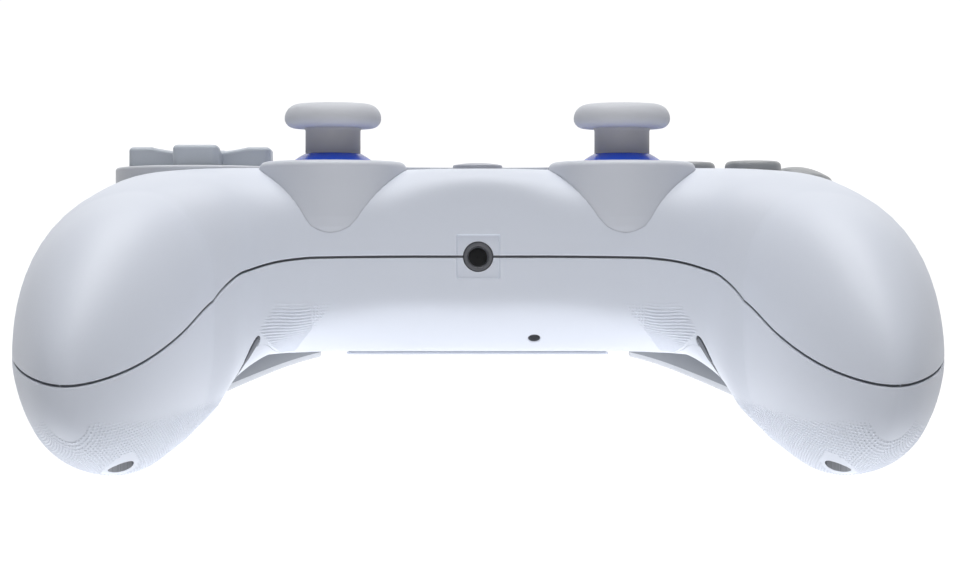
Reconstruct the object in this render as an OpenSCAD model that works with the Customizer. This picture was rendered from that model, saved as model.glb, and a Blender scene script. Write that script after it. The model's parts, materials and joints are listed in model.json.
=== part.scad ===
// Two-grip wireless game controller with twin thumb sticks
// Built level, top face at height zero, player on the -Y side, then set down in its resting pose
// All sizes in millimetres

/* [Housing] */
// mid line to the front wall that faces the player
front_wall = 17.2; // [17:0.1:17.6]
// mid line to the far wall that holds the charging port
far_wall = 39.5; // [39.2:0.1:41]
// top face to the flat underside
body_height = 33.8; // [33.4:0.1:36]
// thickness of both moulded shells
wall = 2.2; // [1.8:0.1:2.4]
// open seam between the two shells
seam_gap = 0.36; // [0.2:0.02:0.5]
// height of the tongue that joins the shells
tongue = 1.6; // [1.2:0.1:2]
// length of each grip past the turn of the body
grip_length = 33; // [31:0.5:36]
// outward lean of each grip in plan, degrees
grip_splay = 14; // [12:0.5:16]

/* [Thumb sticks] */
// sideways distance of each stick from the middle
stick_x = 26.5; // [26:0.1:27]
// stick axis in front of the mid line
stick_front = 4; // [3.6:0.1:4.4]
// depth of the tilt centre below the top face
pivot_depth = 8; // [7.6:0.1:8.4]
// diameter of the mushroom cap
cap_d = 17.7; // [15:0.1:19]
// height of the cap above the top face
cap_top = 12; // [11:0.1:14]
// thickness of the cap
cap_h = 5; // [4:0.1:5.4]
// diameter of the stem
stem_d = 10.1; // [9:0.1:10.6]
// outer radius of the ball skirt
dome_r = 11.6; // [11.3:0.1:11.7]
// radius of the collar at its rim
collar_r = 13.45; // [13.2:0.05:13.6]
// height of the collar above the top face
collar_top = 0.8; // [0.6:0.1:1.2]
// narrowing of the collar from its rim to its foot
collar_taper = 0.55; // [0.4:0.05:0.8]
// largest stick lean, degrees
stick_lean = 18; // [10:1:18]
// press travel of the stick
stick_click = 0.5; // [0.3:0.1:0.6]

/* [Direction pad] */
// gap between the pad plate and the stick collar
pad_gap = 0.55; // [0.5:0.05:0.8]
// pad centre beyond the mid line
pad_y = 12; // [11.6:0.1:12.4]
// tip to tip size of the cross
cross_span = 26.6; // [24:0.1:27]
// width of an arm of the cross
cross_arm = 8.4; // [7.6:0.1:9]
// height of the arm tips
cross_top = 4.2; // [3.6:0.1:4.4]
// depth of the dish in the cross
cross_dish = 1.2; // [0.8:0.1:1.5]
// rim of the round plate beyond the arm tips
plate_rim = 2.8; // [2.5:0.1:2.9]
// height of the plate
plate_top = 0.4; // [0.2:0.1:0.8]
// rocking angle of the cross, degrees
cross_rock = 6; // [3:1:6]

/* [Face buttons] */
// diameter of a face button
button_d = 10.4; // [9.4:0.1:10.6]
// cluster centre to button centre
button_ring = 11.4; // [11.2:0.1:11.8]
// height of the button tops
button_top = 1.7; // [1.2:0.1:2.2]
// slope of the domed outer button, degrees
outer_slope = 11; // [8:1:14]
// press travel of a face button
button_travel = 1.2; // [0.8:0.1:1.2]
// diameter of the home button
home_d = 9.1; // [8:0.1:10]
// height of the home button
home_top = 0.7; // [0.4:0.1:1]

/* [Triggers] */
// trigger pin, sideways from the middle
trigger_x = 43.45; // [43:0.05:44]
// trigger pin beyond the mid line
trigger_y = 24.4; // [24:0.1:24.8]
// trigger pin above the flat underside
trigger_rise = 13.8; // [13.4:0.1:14.2]
// width of the trigger
trigger_w = 24.8; // [22:0.1:25.2]
// turn of the trigger in plan, degrees
trigger_yaw = 18; // [16:0.5:20]
// roll of the trigger, outer end down, degrees
trigger_roll = 21.5; // [20:0.5:23]
// pin to finger face
trigger_reach = 12; // [11.6:0.1:12.4]
// depth of the lip below the pin
trigger_drop = 19.7; // [18:0.1:20.5]
// diameter of the trigger pin
pin_d = 3; // [2.6:0.1:3.2]
// pull of the trigger, degrees
trigger_pull = 18; // [12:1:18]

/* [Buttons in the skin] */
// width of the touch pad
touch_w = 52; // [48:0.5:53]
// depth of the touch pad
touch_l = 27; // [24:0.5:28]
// width of a menu pill
pill_w = 3; // [2.6:0.1:3.4]
// length of a menu pill
pill_l = 7; // [6:0.1:8]
// width of the light bar
light_w = 34; // [28:0.5:36]
// height of the light bar
light_h = 4.2; // [3.6:0.1:4.4]
// height of a shoulder button
shoulder_h = 6; // [5.6:0.1:6.2]
// width of a back button
back_w = 8.6; // [8:0.1:9]
// length of a back button
back_l = 20; // [18:0.5:21]

/* [Ports] */
// bore of the headphone jack
jack_bore = 3.6; // [3.5:0.05:3.8]
// outside of the jack ring
jack_ring = 5.3; // [5.2:0.1:5.8]
// depth of the jack bore
jack_depth = 14; // [13:0.5:14]
// side of the square recess around the jack
jack_recess = 7.6; // [6.6:0.1:8.4]
// width of the charging port
port_w = 9.2; // [8.9:0.1:9.6]
// height of the charging port
port_h = 3.4; // [3.2:0.1:3.6]
// diameter of the reset pin hole
reset_d = 2.2; // [1.8:0.1:2.4]

/* [Fits] */
// gap between a moving button and its opening
button_gap = 0.3; // [0.25:0.05:0.45]
// gap between fixed trim and its opening
trim_gap = 0.08; // [0.04:0.02:0.16]
// radial clearance of shafts in their bores
shaft_gap = 0.04; // [0.02:0.01:0.08]

/* [Hidden] */
$fn = 48;

// Housing form, a loft of upright sections
// sections stand across the body up to fan_x, then turn about a point, then follow the grip
fan_x = 30;
fan_y = 34;
fan_angle = 90 - grip_splay;
grip_start = fan_x + fan_angle;
close_start = 8;
near_reach = fan_y - front_wall;
far_reach = fan_y + far_wall;
seam_near = 16.6;
// place of each key section along the loft
keys = concat([0, 15, fan_x], [for (t = [20, 40, 58]) fan_x + t],
  [for (t = [0, 1/3, 2/3, 1]) grip_start + t * grip_length]);
// inner and outer edge of each key section, measured from the turning point
inner_reach = [for (d = [0, 0, 0, -1, -1.7, -2, -0.2, 1.7, 3.1, 4.9]) near_reach + d];
outer_reach = [for (d = [0, 0, 0, -3, -7.9, -13.9, -19.5, -23.8, -27.7, -31.1]) far_reach + d];
// seam height at both edges
inner_seam = [for (d = [0, 0, 0.2, 0.9, 2.2, 3.7, 7.9, 13.5, 18.3, 22.3]) -seam_near - d];
outer_seam = [for (d = [0, 0, 0, 1.5, 6, 11.5, 15.8, 17.4, 19.4, 20.8]) -seam_near - 0.4 - d];
// height of the crown, and of the underside at its near edge and beyond the chamfer
crown = [0, 0, 0, 0, -0.6, -2.1, -5.3, -9.2, -14.4, -20.1];
under_near = [for (d = [-7, -7, -4.2, 0.8, 6.3, 11.9, 17, 21, 23.9, 26.2]) -body_height - d];
under_far = [for (d = [0, 0, 0.1, 1.1, 5, 9.4, 13.9, 17.7, 21, 23.8]) -body_height - d];
// where crown and keel stand across the section
crown_place = [0.5, 0.5, 0.5, 0.46, 0.41, 0.35, 0.37, 0.39, 0.42, 0.45];
keel_place = [0.5, 0.5, 0.5, 0.4, 0.35, 0.28, 0.3, 0.34, 0.41, 0.44];
// squareness of the four corners
top_in = [3.6, 3.6, 3.4, 3, 2.7, 2.4, 2.2, 2.1, 2, 2];
top_out = [4, 4, 4, 3.5, 2.85, 2.3, 2.1, 2, 2, 2];
low_in = [6, 6, 5.5, 4.7, 3.6, 3.1, 2.7, 2.4, 2.2, 2];
low_out = [6, 6, 6, 5, 3.7, 2.7, 2.1, 1.9, 2.1, 2];
// share of the section taken by the front chamfer of the underside
chamfer = [0.19, 0.19, 0.21, 0.35, 0.6, 1, 1, 1, 1, 1];
form = [inner_reach, outer_reach, inner_seam, outer_seam, crown, under_near, under_far,
  crown_place, keel_place, top_in, top_out, low_in, low_out, chamfer];

// sections drawn, with the closing angle of the rounded grip end
stations = concat([for (x = [0, 10, 20]) [x, 0]],
  [for (i = [0:9]) [fan_x + fan_angle * i / 9, 0]],
  [for (s = [4, close_start]) [grip_start + s, 0]],
  [for (t = [17, 34, 50, 65, 77, 87]) [grip_start + close_start, t]]);
last = len(stations) - 1;
arc_step = 15;

function key_before(q) = max([for (i = [0:len(keys) - 2]) if (q >= keys[i]) i]);
function key_slope(v, j) = j == 0 ? 0
  : j == len(keys) - 1 ? (v[j] - v[j - 1]) / (keys[j] - keys[j - 1])
  : (v[j + 1] - v[j - 1]) / (keys[j + 1] - keys[j - 1]);
function smooth(v, i, h, f) = (2 * f * f * f - 3 * f * f + 1) * v[i]
  + (f * f * f - 2 * f * f + f) * h * key_slope(v, i)
  + (3 * f * f - 2 * f * f * f) * v[i + 1] + (f * f * f - f * f) * h * key_slope(v, i + 1);
function section_at(q) = let(i = key_before(q), h = keys[i + 1] - keys[i], f = (q - keys[i]) / h)
  [for (v = form) smooth(v, i, h, f)];
function in_plan(q, u) = let(a = min(max(q - fan_x, 0), fan_angle), s = max(0, q - grip_start))
  q <= fan_x ? [q, u - fan_y]
  : [fan_x + u * sin(a) + s * cos(a), -fan_y + u * cos(a) - s * sin(a)];
// one point of a half section, a from 0 at the inner seam to 180 at the outer seam
function half_point(s, shrink, a, inset, upper, lift) = let(
  ui = s[0] + inset, uo = s[1] - inset, up = ui + (upper ? s[7] : s[8]) * (uo - ui),
  near = a <= 90, b = near ? a : 180 - a,
  n = upper ? (near ? s[9] : s[10]) : (near ? s[11] : s[12]),
  c = pow(max(0, cos(b)), 2 / n), r = pow(max(0, sin(b)), 2 / n),
  u = near ? up - (up - ui) * c : up + (uo - up) * c,
  zp = near ? s[2] : s[3], t = (u - ui) / (uo - ui) / s[13],
  ze = upper ? s[4] - inset : s[5] + (s[6] - s[5]) * (1 - pow(max(0, 1 - t), 1.2)) + inset,
  uc = (s[0] + s[1]) / 2, zc = (s[2] + s[3]) / 2)
  [uc + (u - uc) * shrink, zc + (zp + (ze - zp) * r - zc) * shrink + lift * (1 - r)];
// row of points of section k, negative k on the left
function edge(k, inset, upper, lift, angles) = let(st = stations[abs(k)],
  q = st[0] + (grip_length - close_start - inset) * sin(st[1]), s = section_at(q))
  [for (a = angles) let(p = half_point(s, cos(st[1]), a, inset, upper, lift), w = in_plan(q, p[0]))
    [k < 0 ? -w[0] : w[0], w[1], p[1]]];
sweep = [for (a = [0:arc_step:180]) a];
sweep_back = [for (a = [180:-arc_step:0]) a];

// closed loop of one shell section, with the stepped rim of the tongue joint
function shell_loop(k, upper) = let(rim = (upper ? 1 : -1) * seam_gap / 2,
  step = wall / 2 + (upper ? 0 : 0.15), shelf = seam_gap / 2 + tongue - (upper ? 0 : 0.2))
  concat(edge(k, 0, upper, rim, sweep), edge(k, step, upper, rim, [180]),
    edge(k, step, upper, shelf, [180]), edge(k, wall, upper, shelf, sweep_back),
    edge(k, step, upper, shelf, [0]), edge(k, step, upper, rim, [0]));

// one moulded shell as a closed loft between the two grip ends
module shell_form(upper) {
  n = len(sweep);
  m = 2 * n + 4;
  rows = 2 * last + 1;
  points = [for (k = [-last:last]) for (p = shell_loop(k, upper)) p];
  skin = [for (i = [0:rows - 2]) for (j = [0:m - 1]) let(j2 = (j + 1) % m)
    each [[i * m + j, (i + 1) * m + j, (i + 1) * m + j2], [i * m + j, (i + 1) * m + j2, i * m + j2]]];
  cap = [[for (j = [0:n - 1]) j], [n - 1, n, m - 1, 0], [n, n + 1, m - 2, m - 1],
    [n + 1, n + 2, m - 3, m - 2], [for (j = [n + 2:m - 3]) j]];
  base = (rows - 1) * m;
  ends = concat(cap, [for (f = cap) [for (j = [len(f) - 1:-1:0]) base + f[j]]]);
  faces = concat(skin, ends);
  polyhedron(points, upper ? [for (f = faces) [for (j = [len(f) - 1:-1:0]) f[j]]] : faces);
}

// part of a shell surface between two sections, for buttons that follow the form
module skin_piece(upper, k0, k1, a0, a1, outset, depth) {
  angles = [for (a = [a0:arc_step:a1]) a];
  c = len(angles);
  r = k1 - k0 + 1;
  half = r * c;
  points = concat([for (k = [k0:k1]) each edge(k, -outset, upper, 0, angles)],
    [for (k = [k0:k1]) each edge(k, depth, upper, 0, angles)]);
  outer = [for (i = [0:r - 2]) for (j = [0:c - 2]) let(p = i * c + j)
    each [[p, p + c, p + c + 1], [p, p + c + 1, p + 1]]];
  inner = [for (f = outer) [for (j = [2:-1:0]) f[j] + half]];
  rim = concat([for (i = [0:r - 2]) [i * c, (i + 1) * c]],
    [for (j = [0:c - 2]) [(r - 1) * c + j, (r - 1) * c + j + 1]],
    [for (i = [r - 1:-1:1]) [i * c + c - 1, (i - 1) * c + c - 1]], [for (j = [c - 1:-1:1]) [j, j - 1]]);
  sides = [for (e = rim) each [[e[1], e[0], e[0] + half], [e[1], e[0] + half, e[1] + half]]];
  faces = concat(outer, inner, sides);
  polyhedron(points, upper ? [for (f = faces) [for (j = [2:-1:0]) f[j]]] : faces);
}

// Derived places
stick_y = -stick_front;
// the pad stands beside its stick, and the face buttons stand opposite the pad
plate_r = cross_span / 2 + plate_rim;
pad_x = stick_x + sqrt(pow(plate_r + collar_r + pad_gap, 2) - pow(pad_y + stick_front, 2));
cluster_x = pad_x - 1.5;
// flat at the tip of each arm of the cross
tip_flat = 3.6;
// height of the trigger pin below the top face
trigger_depth = body_height - trigger_rise;
// touch pad and pills, measured from the far wall and from each other
touch_y = far_wall - 3.4 - touch_l / 2;
touch_stub = [0, touch_y + 3.4];
pill_at = [touch_w / 2 + 3.4, touch_y - 1.6];
light_z = -6.6 - light_h / 2;
label_w = 48;
label_l = 26;
label_y = 8;
label_depth = 0.4;
pivot_z = -pivot_depth;
cap_base = cap_top - cap_h;
collar_base = -12.6;
collar_foot = collar_r - collar_taper;
// the collar swells a little before it narrows
collar_belly = 0.15;
belly_z = -9;
rim_z = -0.4;
board_top = -15;
board_t = 1.6;
frame_t = 1.8;
frame_base = board_top - board_t - frame_t;
carrier_top = -13;
membrane_top = carrier_top + 1.2;
button_foot = membrane_top + button_travel + 0.3;
cross_pivot = -2;
post_r = 2;
module_half = 7;
// opening of the ball skirt, from its axis, degrees
dome_angle = 68;
module_top = pivot_z + 1.7;
trunnion_r = 1;
face_r = trigger_reach;
plate_t = 3;
lip_r = plate_t / 2;
// curve of the finger face, bent so that the lip stands out from the pin
lip_out = 20.2;
lip_rise = lip_out - face_r + lip_r;
bend_r = (pow(lip_rise, 2) + pow(trigger_drop, 2)) / (2 * lip_rise) - lip_r;
bend_y = face_r + bend_r;
lip_centre = bend_y - sqrt(pow(bend_r + lip_r, 2) - pow(trigger_drop, 2));
top_angle = 42;
shoulder_start = 4;
shoulder_travel = 0.7;
screw_y = -45;
screw_x = 60.5;
far_screw = [31, 13];
screw_r = 1.1;
head_h = 1.6;
screw_bite = 6;
frame_posts = [[37, 4], [24, 20]];
// seat of each screw head and the plane where the bosses of both shells meet
grip_seat = -14.7 - body_height;
grip_meet = grip_seat + 8.3;
grip_boss_top = -22;
far_seat = 5 - body_height;
far_meet = -18;
jack_z = -seam_near;
port_z = board_top + port_h / 2;
home_foot = -9;
home_travel = 0.6;
reset_at = [10.2, -10.5, 2.6 - body_height];
reset_tilt = 33;
back_at = [40.8, -11, -1.4 - body_height];
back_turn = [-11.5, 39.6, 0];
motor_at = [62, -23, 4.8 - body_height];
motor_r = 6;
motor_l = 14;
motor_shaft = 1;
weight_t = 5.5;
weight_hub = 2.6;
motor_post = -12.2 - body_height;
// foot of the trigger bracket above the underside
bracket_rise = 3.8;
bracket_at = [trigger_x - 2.5, trigger_y + 0.8];
bracket_foot_r = 2.8;
// ears and base of the bracket, from the pin
ear_x = 12.2;
ear_t = 1.6;
ear_r = 3.2;
base_drop = 7;
// lugs of the trigger on the pin, with the spring between them
lug_x = 6.5;
lug_w = 6;
lug_arm = 2.4;
spring_r = pin_d / 2 + 1.1;
// circuit board, with wings under the menu pills and a tail to the charging socket
board_w = 82;
board_l = 25;
board_front = 11;
wing_x = pill_at[0] + 1.1;
wing_y = 10;
wing_l = 14;
tail_w = 16;
boss_hole = 3.8;
// jack body behind the ring
jack_body_w = 7;
jack_body_h = 6;
jack_body_y = 4.7;
// bridge that carries the home switch over the jack
bridge_z = jack_z + jack_body_h / 2 + 0.3;
switch_w = 6;
switch_top = home_foot - home_travel - 0.6;
bridge_w = 12;
bridge_t = 1.2;
post_h = 4.8;
// battery under the inner frame
battery_w = 40;
battery_l = 26;
battery_h = 8.4;
battery_y = 12;
// carriers and membranes under pad and buttons
carrier_r = 13;
carrier_arm = [36.5, 46, 4, 13];
carrier_post = 2.3;
membrane_r = carrier_r - 0.8;
ball_r = 1.6;
// stick mechanism, from its tilt centre
ring_x = 5.5;
ring_y = 5;
ring_h = 3;
ring_wall = 1.3;
ring_room = ring_x - ring_wall - 0.6;
lever_w = 4.4;
lever_l = 6.8;
lever_h = 4;
pot_w = 6.8;
pot_t = 2.2;
weight_r = 7;

// Resting pose on grips and triggers
turn_x = [cos(trigger_roll) * cos(trigger_yaw), -cos(trigger_roll) * sin(trigger_yaw), -sin(trigger_roll)];
turn_y = [sin(trigger_yaw), cos(trigger_yaw), 0];
turn_z = [sin(trigger_roll) * cos(trigger_yaw), -sin(trigger_roll) * sin(trigger_yaw), cos(trigger_roll)];
lip_end = [trigger_x, trigger_y, -trigger_depth] + turn_x * trigger_w / 2 + turn_y * lip_out
  - turn_z * trigger_drop - [0, 0, lip_r];
first_tilt = 6.5;
grip_points = [for (k = [10:last]) each edge(k, 0, false, 0, sweep)];
grip_drop = [for (p = grip_points) p[2] * cos(first_tilt) - p[1] * sin(first_tilt)];
grip_low = grip_points[search(min(grip_drop), grip_drop)[0]];
rest_tilt = atan2(lip_end[2] - grip_low[2], lip_end[1] - grip_low[1]);
rest_lift = grip_low[1] * sin(rest_tilt) - grip_low[2] * cos(rest_tilt);
// depth range once tilted, so that the origin stands under the middle
lip_far = [trigger_x, trigger_y, -trigger_depth] - turn_x * trigger_w / 2 + turn_y * lip_centre
  - turn_z * trigger_drop;
tilt_y = [0, cos(rest_tilt), sin(rest_tilt)];
depth_far = lip_far * tilt_y + lip_r * sqrt(1 - pow(turn_x * tilt_y, 2));
crown_points = [for (k = [10:last]) each edge(k, 0, true, 0, sweep)];
depth_near = min([for (p = concat(grip_points, crown_points)) p * tilt_y]);
rest_shift = -(depth_far + depth_near) / 2;

module at_rest() {
  translate([0, rest_shift, rest_lift])
    rotate([-rest_tilt, 0, 0])
      children();
}

module on_side(side) {
  mirror([side < 0 ? 1 : 0, 0, 0])
    children();
}

module both_sides() {
  for (side = [-1, 1])
    on_side(side)
      children();
}

// frame of the right trigger, first axis along the pin
module trigger_frame() {
  translate([trigger_x, trigger_y, -trigger_depth])
    rotate([0, 0, -trigger_yaw])
      rotate([0, trigger_roll, 0])
        children();
}

module back_frame() {
  translate(back_at)
    rotate(back_turn)
      children();
}

module reset_frame() {
  translate(reset_at)
    rotate([-reset_tilt, 0, 0])
      children();
}

module block(x0, x1, y0, y1, z0, z1) {
  translate([x0, y0, z0])
    cube([x1 - x0, y1 - y0, z1 - z0]);
}

module rounded(w, l, r) {
  square([w - 2 * r, l], center = true);
  square([w, l - 2 * r], center = true);
  for (x = [-1, 1])
    for (y = [-1, 1])
      translate([x * (w / 2 - r), y * (l / 2 - r)])
        circle(r);
}

module upright(z0, z1) {
  translate([0, 0, z0])
    linear_extrude(z1 - z0)
      children();
}

module cross_outline(grow) {
  rounded(cross_span + 2 * grow, cross_arm + 2 * grow, 1.3 + grow);
  rounded(cross_arm + 2 * grow, cross_span + 2 * grow, 1.3 + grow);
}

// Shells
module collar_side(grow) {
  polygon([[0, collar_base - grow], [collar_foot + grow, collar_base - grow],
    [collar_r + collar_belly + grow, belly_z], [collar_r + grow, rim_z], [0, rim_z]]);
}

module collar_cut() {
  translate([stick_x, stick_y, 0])
    rotate_extrude() {
      collar_side(trim_gap);
      translate([0, rim_z - 0.1])
        square([collar_r + trim_gap, 4]);
    }
}

button_places = [[cluster_x, pad_y - button_ring], [cluster_x, pad_y + button_ring],
  [cluster_x - button_ring, pad_y], [cluster_x + button_ring, pad_y]];

module trigger_cut() {
  trigger_frame()
    block(-trigger_w / 2 - 0.6, trigger_w / 2 + 0.6, face_r / 2, 45, -45, face_r * sin(top_angle) + 0.5);
}

module shoulder_bar(grow, start) {
  trigger_frame()
    translate([0, start, face_r * sin(top_angle) + shoulder_h / 2 + 1.55])
      rotate([-90, 0, 0])
        linear_extrude(24)
          rounded(trigger_w + 2 * grow, shoulder_h + 2 * grow, 1.6 + grow);
}

module pad_window(grow) {
  translate([0, touch_y, -10])
    linear_extrude(14)
      rounded(touch_w + 2 * grow, touch_l + 2 * grow, 3 + grow);
}

module pill_window(grow) {
  translate([pill_at[0], pill_at[1], -10])
    linear_extrude(14)
      rounded(pill_w + 2 * grow, pill_l + 2 * grow, pill_w / 2 - 0.01 + grow);
}

module light_window(grow) {
  translate([0, far_wall - 9.5, light_z])
    rotate([-90, 0, 0])
      linear_extrude(14)
        rounded(light_w + 2 * grow, light_h + 2 * grow, light_h / 2 - 0.1 + grow);
}

module back_window(grow) {
  back_frame()
    translate([0, 0, -8])
      linear_extrude(16)
        rounded(back_w + 2 * grow, back_l + 2 * grow, back_w / 2 - 0.3 + grow);
}

module jack_cut() {
  translate([0, -front_wall - 3, jack_z])
    rotate([-90, 0, 0])
      cylinder(h = 9, d = jack_ring + 2 * trim_gap);
  block(-jack_recess / 2, jack_recess / 2, -front_wall - 2, 0.4 - front_wall, jack_z - jack_recess / 2 - 0.2,
    jack_z + jack_recess / 2);
}

// outline of the charging socket, along the far wall
module port_form(grow, y0, y1) {
  translate([0, y0, port_z])
    rotate([-90, 0, 0])
      linear_extrude(y1 - y0)
        rounded(port_w + 2 * grow, port_h + 2 * grow, port_h / 2 - 0.1 + grow);
}

// counterbore below the origin, clearance hole above it
module screw_hole(reach) {
  translate([0, 0, -14])
    cylinder(h = 14, r = screw_r + 1.2);
  translate([0, 0, -1])
    cylinder(h = reach + 2, r = screw_r + 0.15);
}

module upper_shell() {
  color([0.83, 0.85, 0.89])
    difference() {
      union() {
        shell_form(true);
        both_sides() {
          translate([screw_x, screw_y, grip_meet])
            cylinder(h = grip_boss_top - grip_meet, r = screw_r + 1.9);
          translate([far_screw[0], far_screw[1], far_meet])
            cylinder(h = -1.5 - far_meet, r = screw_r + 1.9);
        }
      }
      both_sides() {
        collar_cut();
        trigger_cut();
        shoulder_bar(button_gap, shoulder_start);
        pill_window(button_gap);
        translate([screw_x, screw_y, grip_meet - 1])
          cylinder(h = 11, r = screw_r);
        translate([far_screw[0], far_screw[1], far_meet - 1])
          cylinder(h = 11, r = screw_r);
      }
      translate([-pad_x, pad_y, -8])
        cylinder(h = 12, r = plate_r + trim_gap);
      for (p = button_places)
        translate([p[0], p[1], -12])
          cylinder(h = 16, r = button_d / 2 + button_gap);
      translate([0, stick_y, -8])
        cylinder(h = 12, r = home_d / 2 + button_gap);
      pad_window(button_gap);
      light_window(trim_gap);
      jack_cut();
      port_form(trim_gap, far_wall - 6, far_wall + 3);
    }
}

module lower_shell() {
  color([0.83, 0.85, 0.89])
    difference() {
      union() {
        shell_form(false);
        both_sides() {
          translate([screw_x, screw_y, grip_seat - 2.5])
            cylinder(h = grip_meet - grip_seat + 2.5, r = screw_r + 2.3);
          translate([far_screw[0], far_screw[1], 0.7 - body_height])
            cylinder(h = far_meet + body_height - 0.7, r = screw_r + 2.3);
          for (p = frame_posts)
            translate([p[0], p[1], 0.9 - body_height])
              cylinder(h = frame_base + body_height - 0.9, r = 2.4);
          translate([bracket_at[0], bracket_at[1], 0.8 - body_height])
            cylinder(h = bracket_rise - 0.8, r = bracket_foot_r + 0.8);
          translate([motor_at[0], motor_at[1], motor_post])
            cylinder(h = motor_at[2] - 3 - motor_post, r = 4);
        }
      }
      both_sides() {
        trigger_cut();
        back_window(button_gap);
        translate([screw_x, screw_y, grip_seat])
          screw_hole(grip_meet - grip_seat);
        translate([far_screw[0], far_screw[1], far_seat])
          screw_hole(far_meet - far_seat);
        motor_body();
      }
      jack_cut();
      reset_frame()
        translate([0, 0, -5])
          cylinder(h = 14, d = reset_d);
      translate([0, label_y, -body_height - wall])
        linear_extrude(wall + label_depth)
          rounded(label_w, label_l, 2);
    }
}

// Thumb sticks
module stick_bezel(side) {
  rim_r = collar_top - rim_z;
  color([0.73, 0.75, 0.8])
    on_side(side)
      translate([stick_x, stick_y, 0])
        rotate_extrude()
          difference() {
            union() {
              collar_side(0);
              translate([0, rim_z - 0.01])
                square([collar_r - rim_r, rim_r + 0.01]);
              translate([collar_r - rim_r, rim_z])
                circle(rim_r);
            }
            square([10.5, 4]);
            translate([0, pivot_z + 5.7])
              square([10.5, 8]);
            translate([0, pivot_z - 1.4])
              square([dome_r + 0.5, 7.1]);
            translate([0, collar_base - 1])
              square([11.2, 9]);
          }
}

module stick_module(side) {
  color([0.35, 0.36, 0.38])
    on_side(side)
      translate([stick_x, stick_y, 0])
        difference() {
          union() {
            block(-module_half, module_half, -module_half, module_half, board_top, module_top);
            block(module_half - 0.5, module_half + pot_t, -pot_w / 2, pot_w / 2, board_top, module_top);
            block(-pot_w / 2, pot_w / 2, module_half - 0.5, module_half + pot_t, board_top, module_top);
          }
          block(1 - module_half, module_half - 1, 1 - module_half, module_half - 1, board_top + 1, 0);
          translate([0, 0, pivot_z])
            rotate([0, 90, 0])
              cylinder(h = 2 * module_half, r = trunnion_r + shaft_gap, center = true);
        }
}

module stick_gimbal(side) {
  color([0.5, 0.5, 0.52])
    on_side(side)
      translate([stick_x, stick_y, pivot_z])
        difference() {
          union() {
            block(-ring_x, ring_x, -ring_y, ring_y, -ring_h / 2, ring_h / 2);
            rotate([0, 90, 0])
              cylinder(h = 2 * module_half - 0.4, r = trunnion_r, center = true);
          }
          block(-ring_room, ring_room, ring_wall - ring_y, ring_y - ring_wall, -ring_h, ring_h);
          rotate([90, 0, 0])
            cylinder(h = 2 * ring_y + 2, r = trunnion_r + shaft_gap, center = true);
        }
}

module stick_lever(side) {
  color([0.62, 0.62, 0.64])
    on_side(side)
      translate([stick_x, stick_y, pivot_z]) {
        block(-lever_w / 2, lever_w / 2, -lever_l / 2, lever_l / 2, -lever_h / 2, lever_h / 2);
        rotate([90, 0, 0])
          cylinder(h = 2 * ring_y - 0.4, r = trunnion_r, center = true);
        cylinder(h = cap_base - pivot_z - 1.6, r = post_r);
      }
}

module stick_stem(side) {
  color([0.46, 0.47, 0.5])
    on_side(side)
      translate([stick_x, stick_y, 0])
        difference() {
          union() {
            translate([0, 0, 0.4])
              cylinder(h = cap_base - 0.4, d = stem_d);
            cylinder(h = cap_base + 2.2, r = 3);
          }
          translate([0, 0, -1])
            cylinder(h = cap_base + 0.8, r = post_r + shaft_gap);
        }
}

module stick_cap(side) {
  dish = 0.6;
  dish_r = (pow(cap_d / 2 - 3.2, 2) + dish * dish) / (2 * dish);
  color([0.69, 0.7, 0.73])
    on_side(side)
      translate([stick_x, stick_y, cap_base])
        rotate_extrude()
          difference() {
            union() {
              square([cap_d / 2 - cap_h / 2, cap_h]);
              translate([cap_d / 2 - cap_h / 2, cap_h / 2])
                circle(cap_h / 2);
            }
            translate([0, cap_h - dish + dish_r])
              circle(dish_r, $fn = 120);
            translate([0, -1])
              square([3, 3.2]);
            translate([-20, -20])
              square([20, 60]);
          }
}

module stick_dome(side) {
  color([0.12, 0.25, 0.72])
    on_side(side)
      translate([stick_x, stick_y, pivot_z])
        rotate_extrude()
          difference() {
            circle(dome_r, $fn = 96);
            circle(dome_r - 0.9, $fn = 96);
            translate([-20, -20])
              square([20 + stem_d / 2, 60]);
            translate([-20, -20])
              square([40, 20 + dome_r * cos(dome_angle)]);
          }
}

// Direction pad
module dpad_plate() {
  color([0.65, 0.66, 0.69])
    translate([-pad_x, pad_y, 0])
      difference() {
        rotate_extrude() {
          translate([0, -5.5])
            square([plate_r, 5.5 + plate_top - 0.6]);
          translate([0, plate_top - 0.7])
            square([plate_r - 0.6, 0.7]);
          translate([plate_r - 0.6, plate_top - 0.6])
            circle(0.6);
        }
        upright(-7, 3)
          cross_outline(0.75);
      }
}

module dpad() {
  dish_r = (pow(cross_span / 2 - tip_flat, 2) + cross_dish * cross_dish) / (2 * cross_dish);
  color([0.55, 0.58, 0.62])
    translate([-pad_x, pad_y, 0])
      difference() {
        union() {
          upright(cross_pivot + 0.4, cross_top)
            cross_outline(0);
          for (a = [0:90:270])
            rotate([0, 0, a])
              translate([9, 0, button_foot - 0.3])
                cylinder(h = cross_pivot - button_foot + 1.2, r = 1.4);
        }
        translate([0, 0, cross_top - cross_dish + dish_r])
          sphere(dish_r, $fn = 120);
        translate([0, 0, cross_pivot])
          sphere(ball_r + shaft_gap);
      }
}

module dpad_pivot() {
  color([0.4, 0.41, 0.43])
    translate([-pad_x, pad_y, cross_pivot])
      sphere(ball_r);
}

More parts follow.
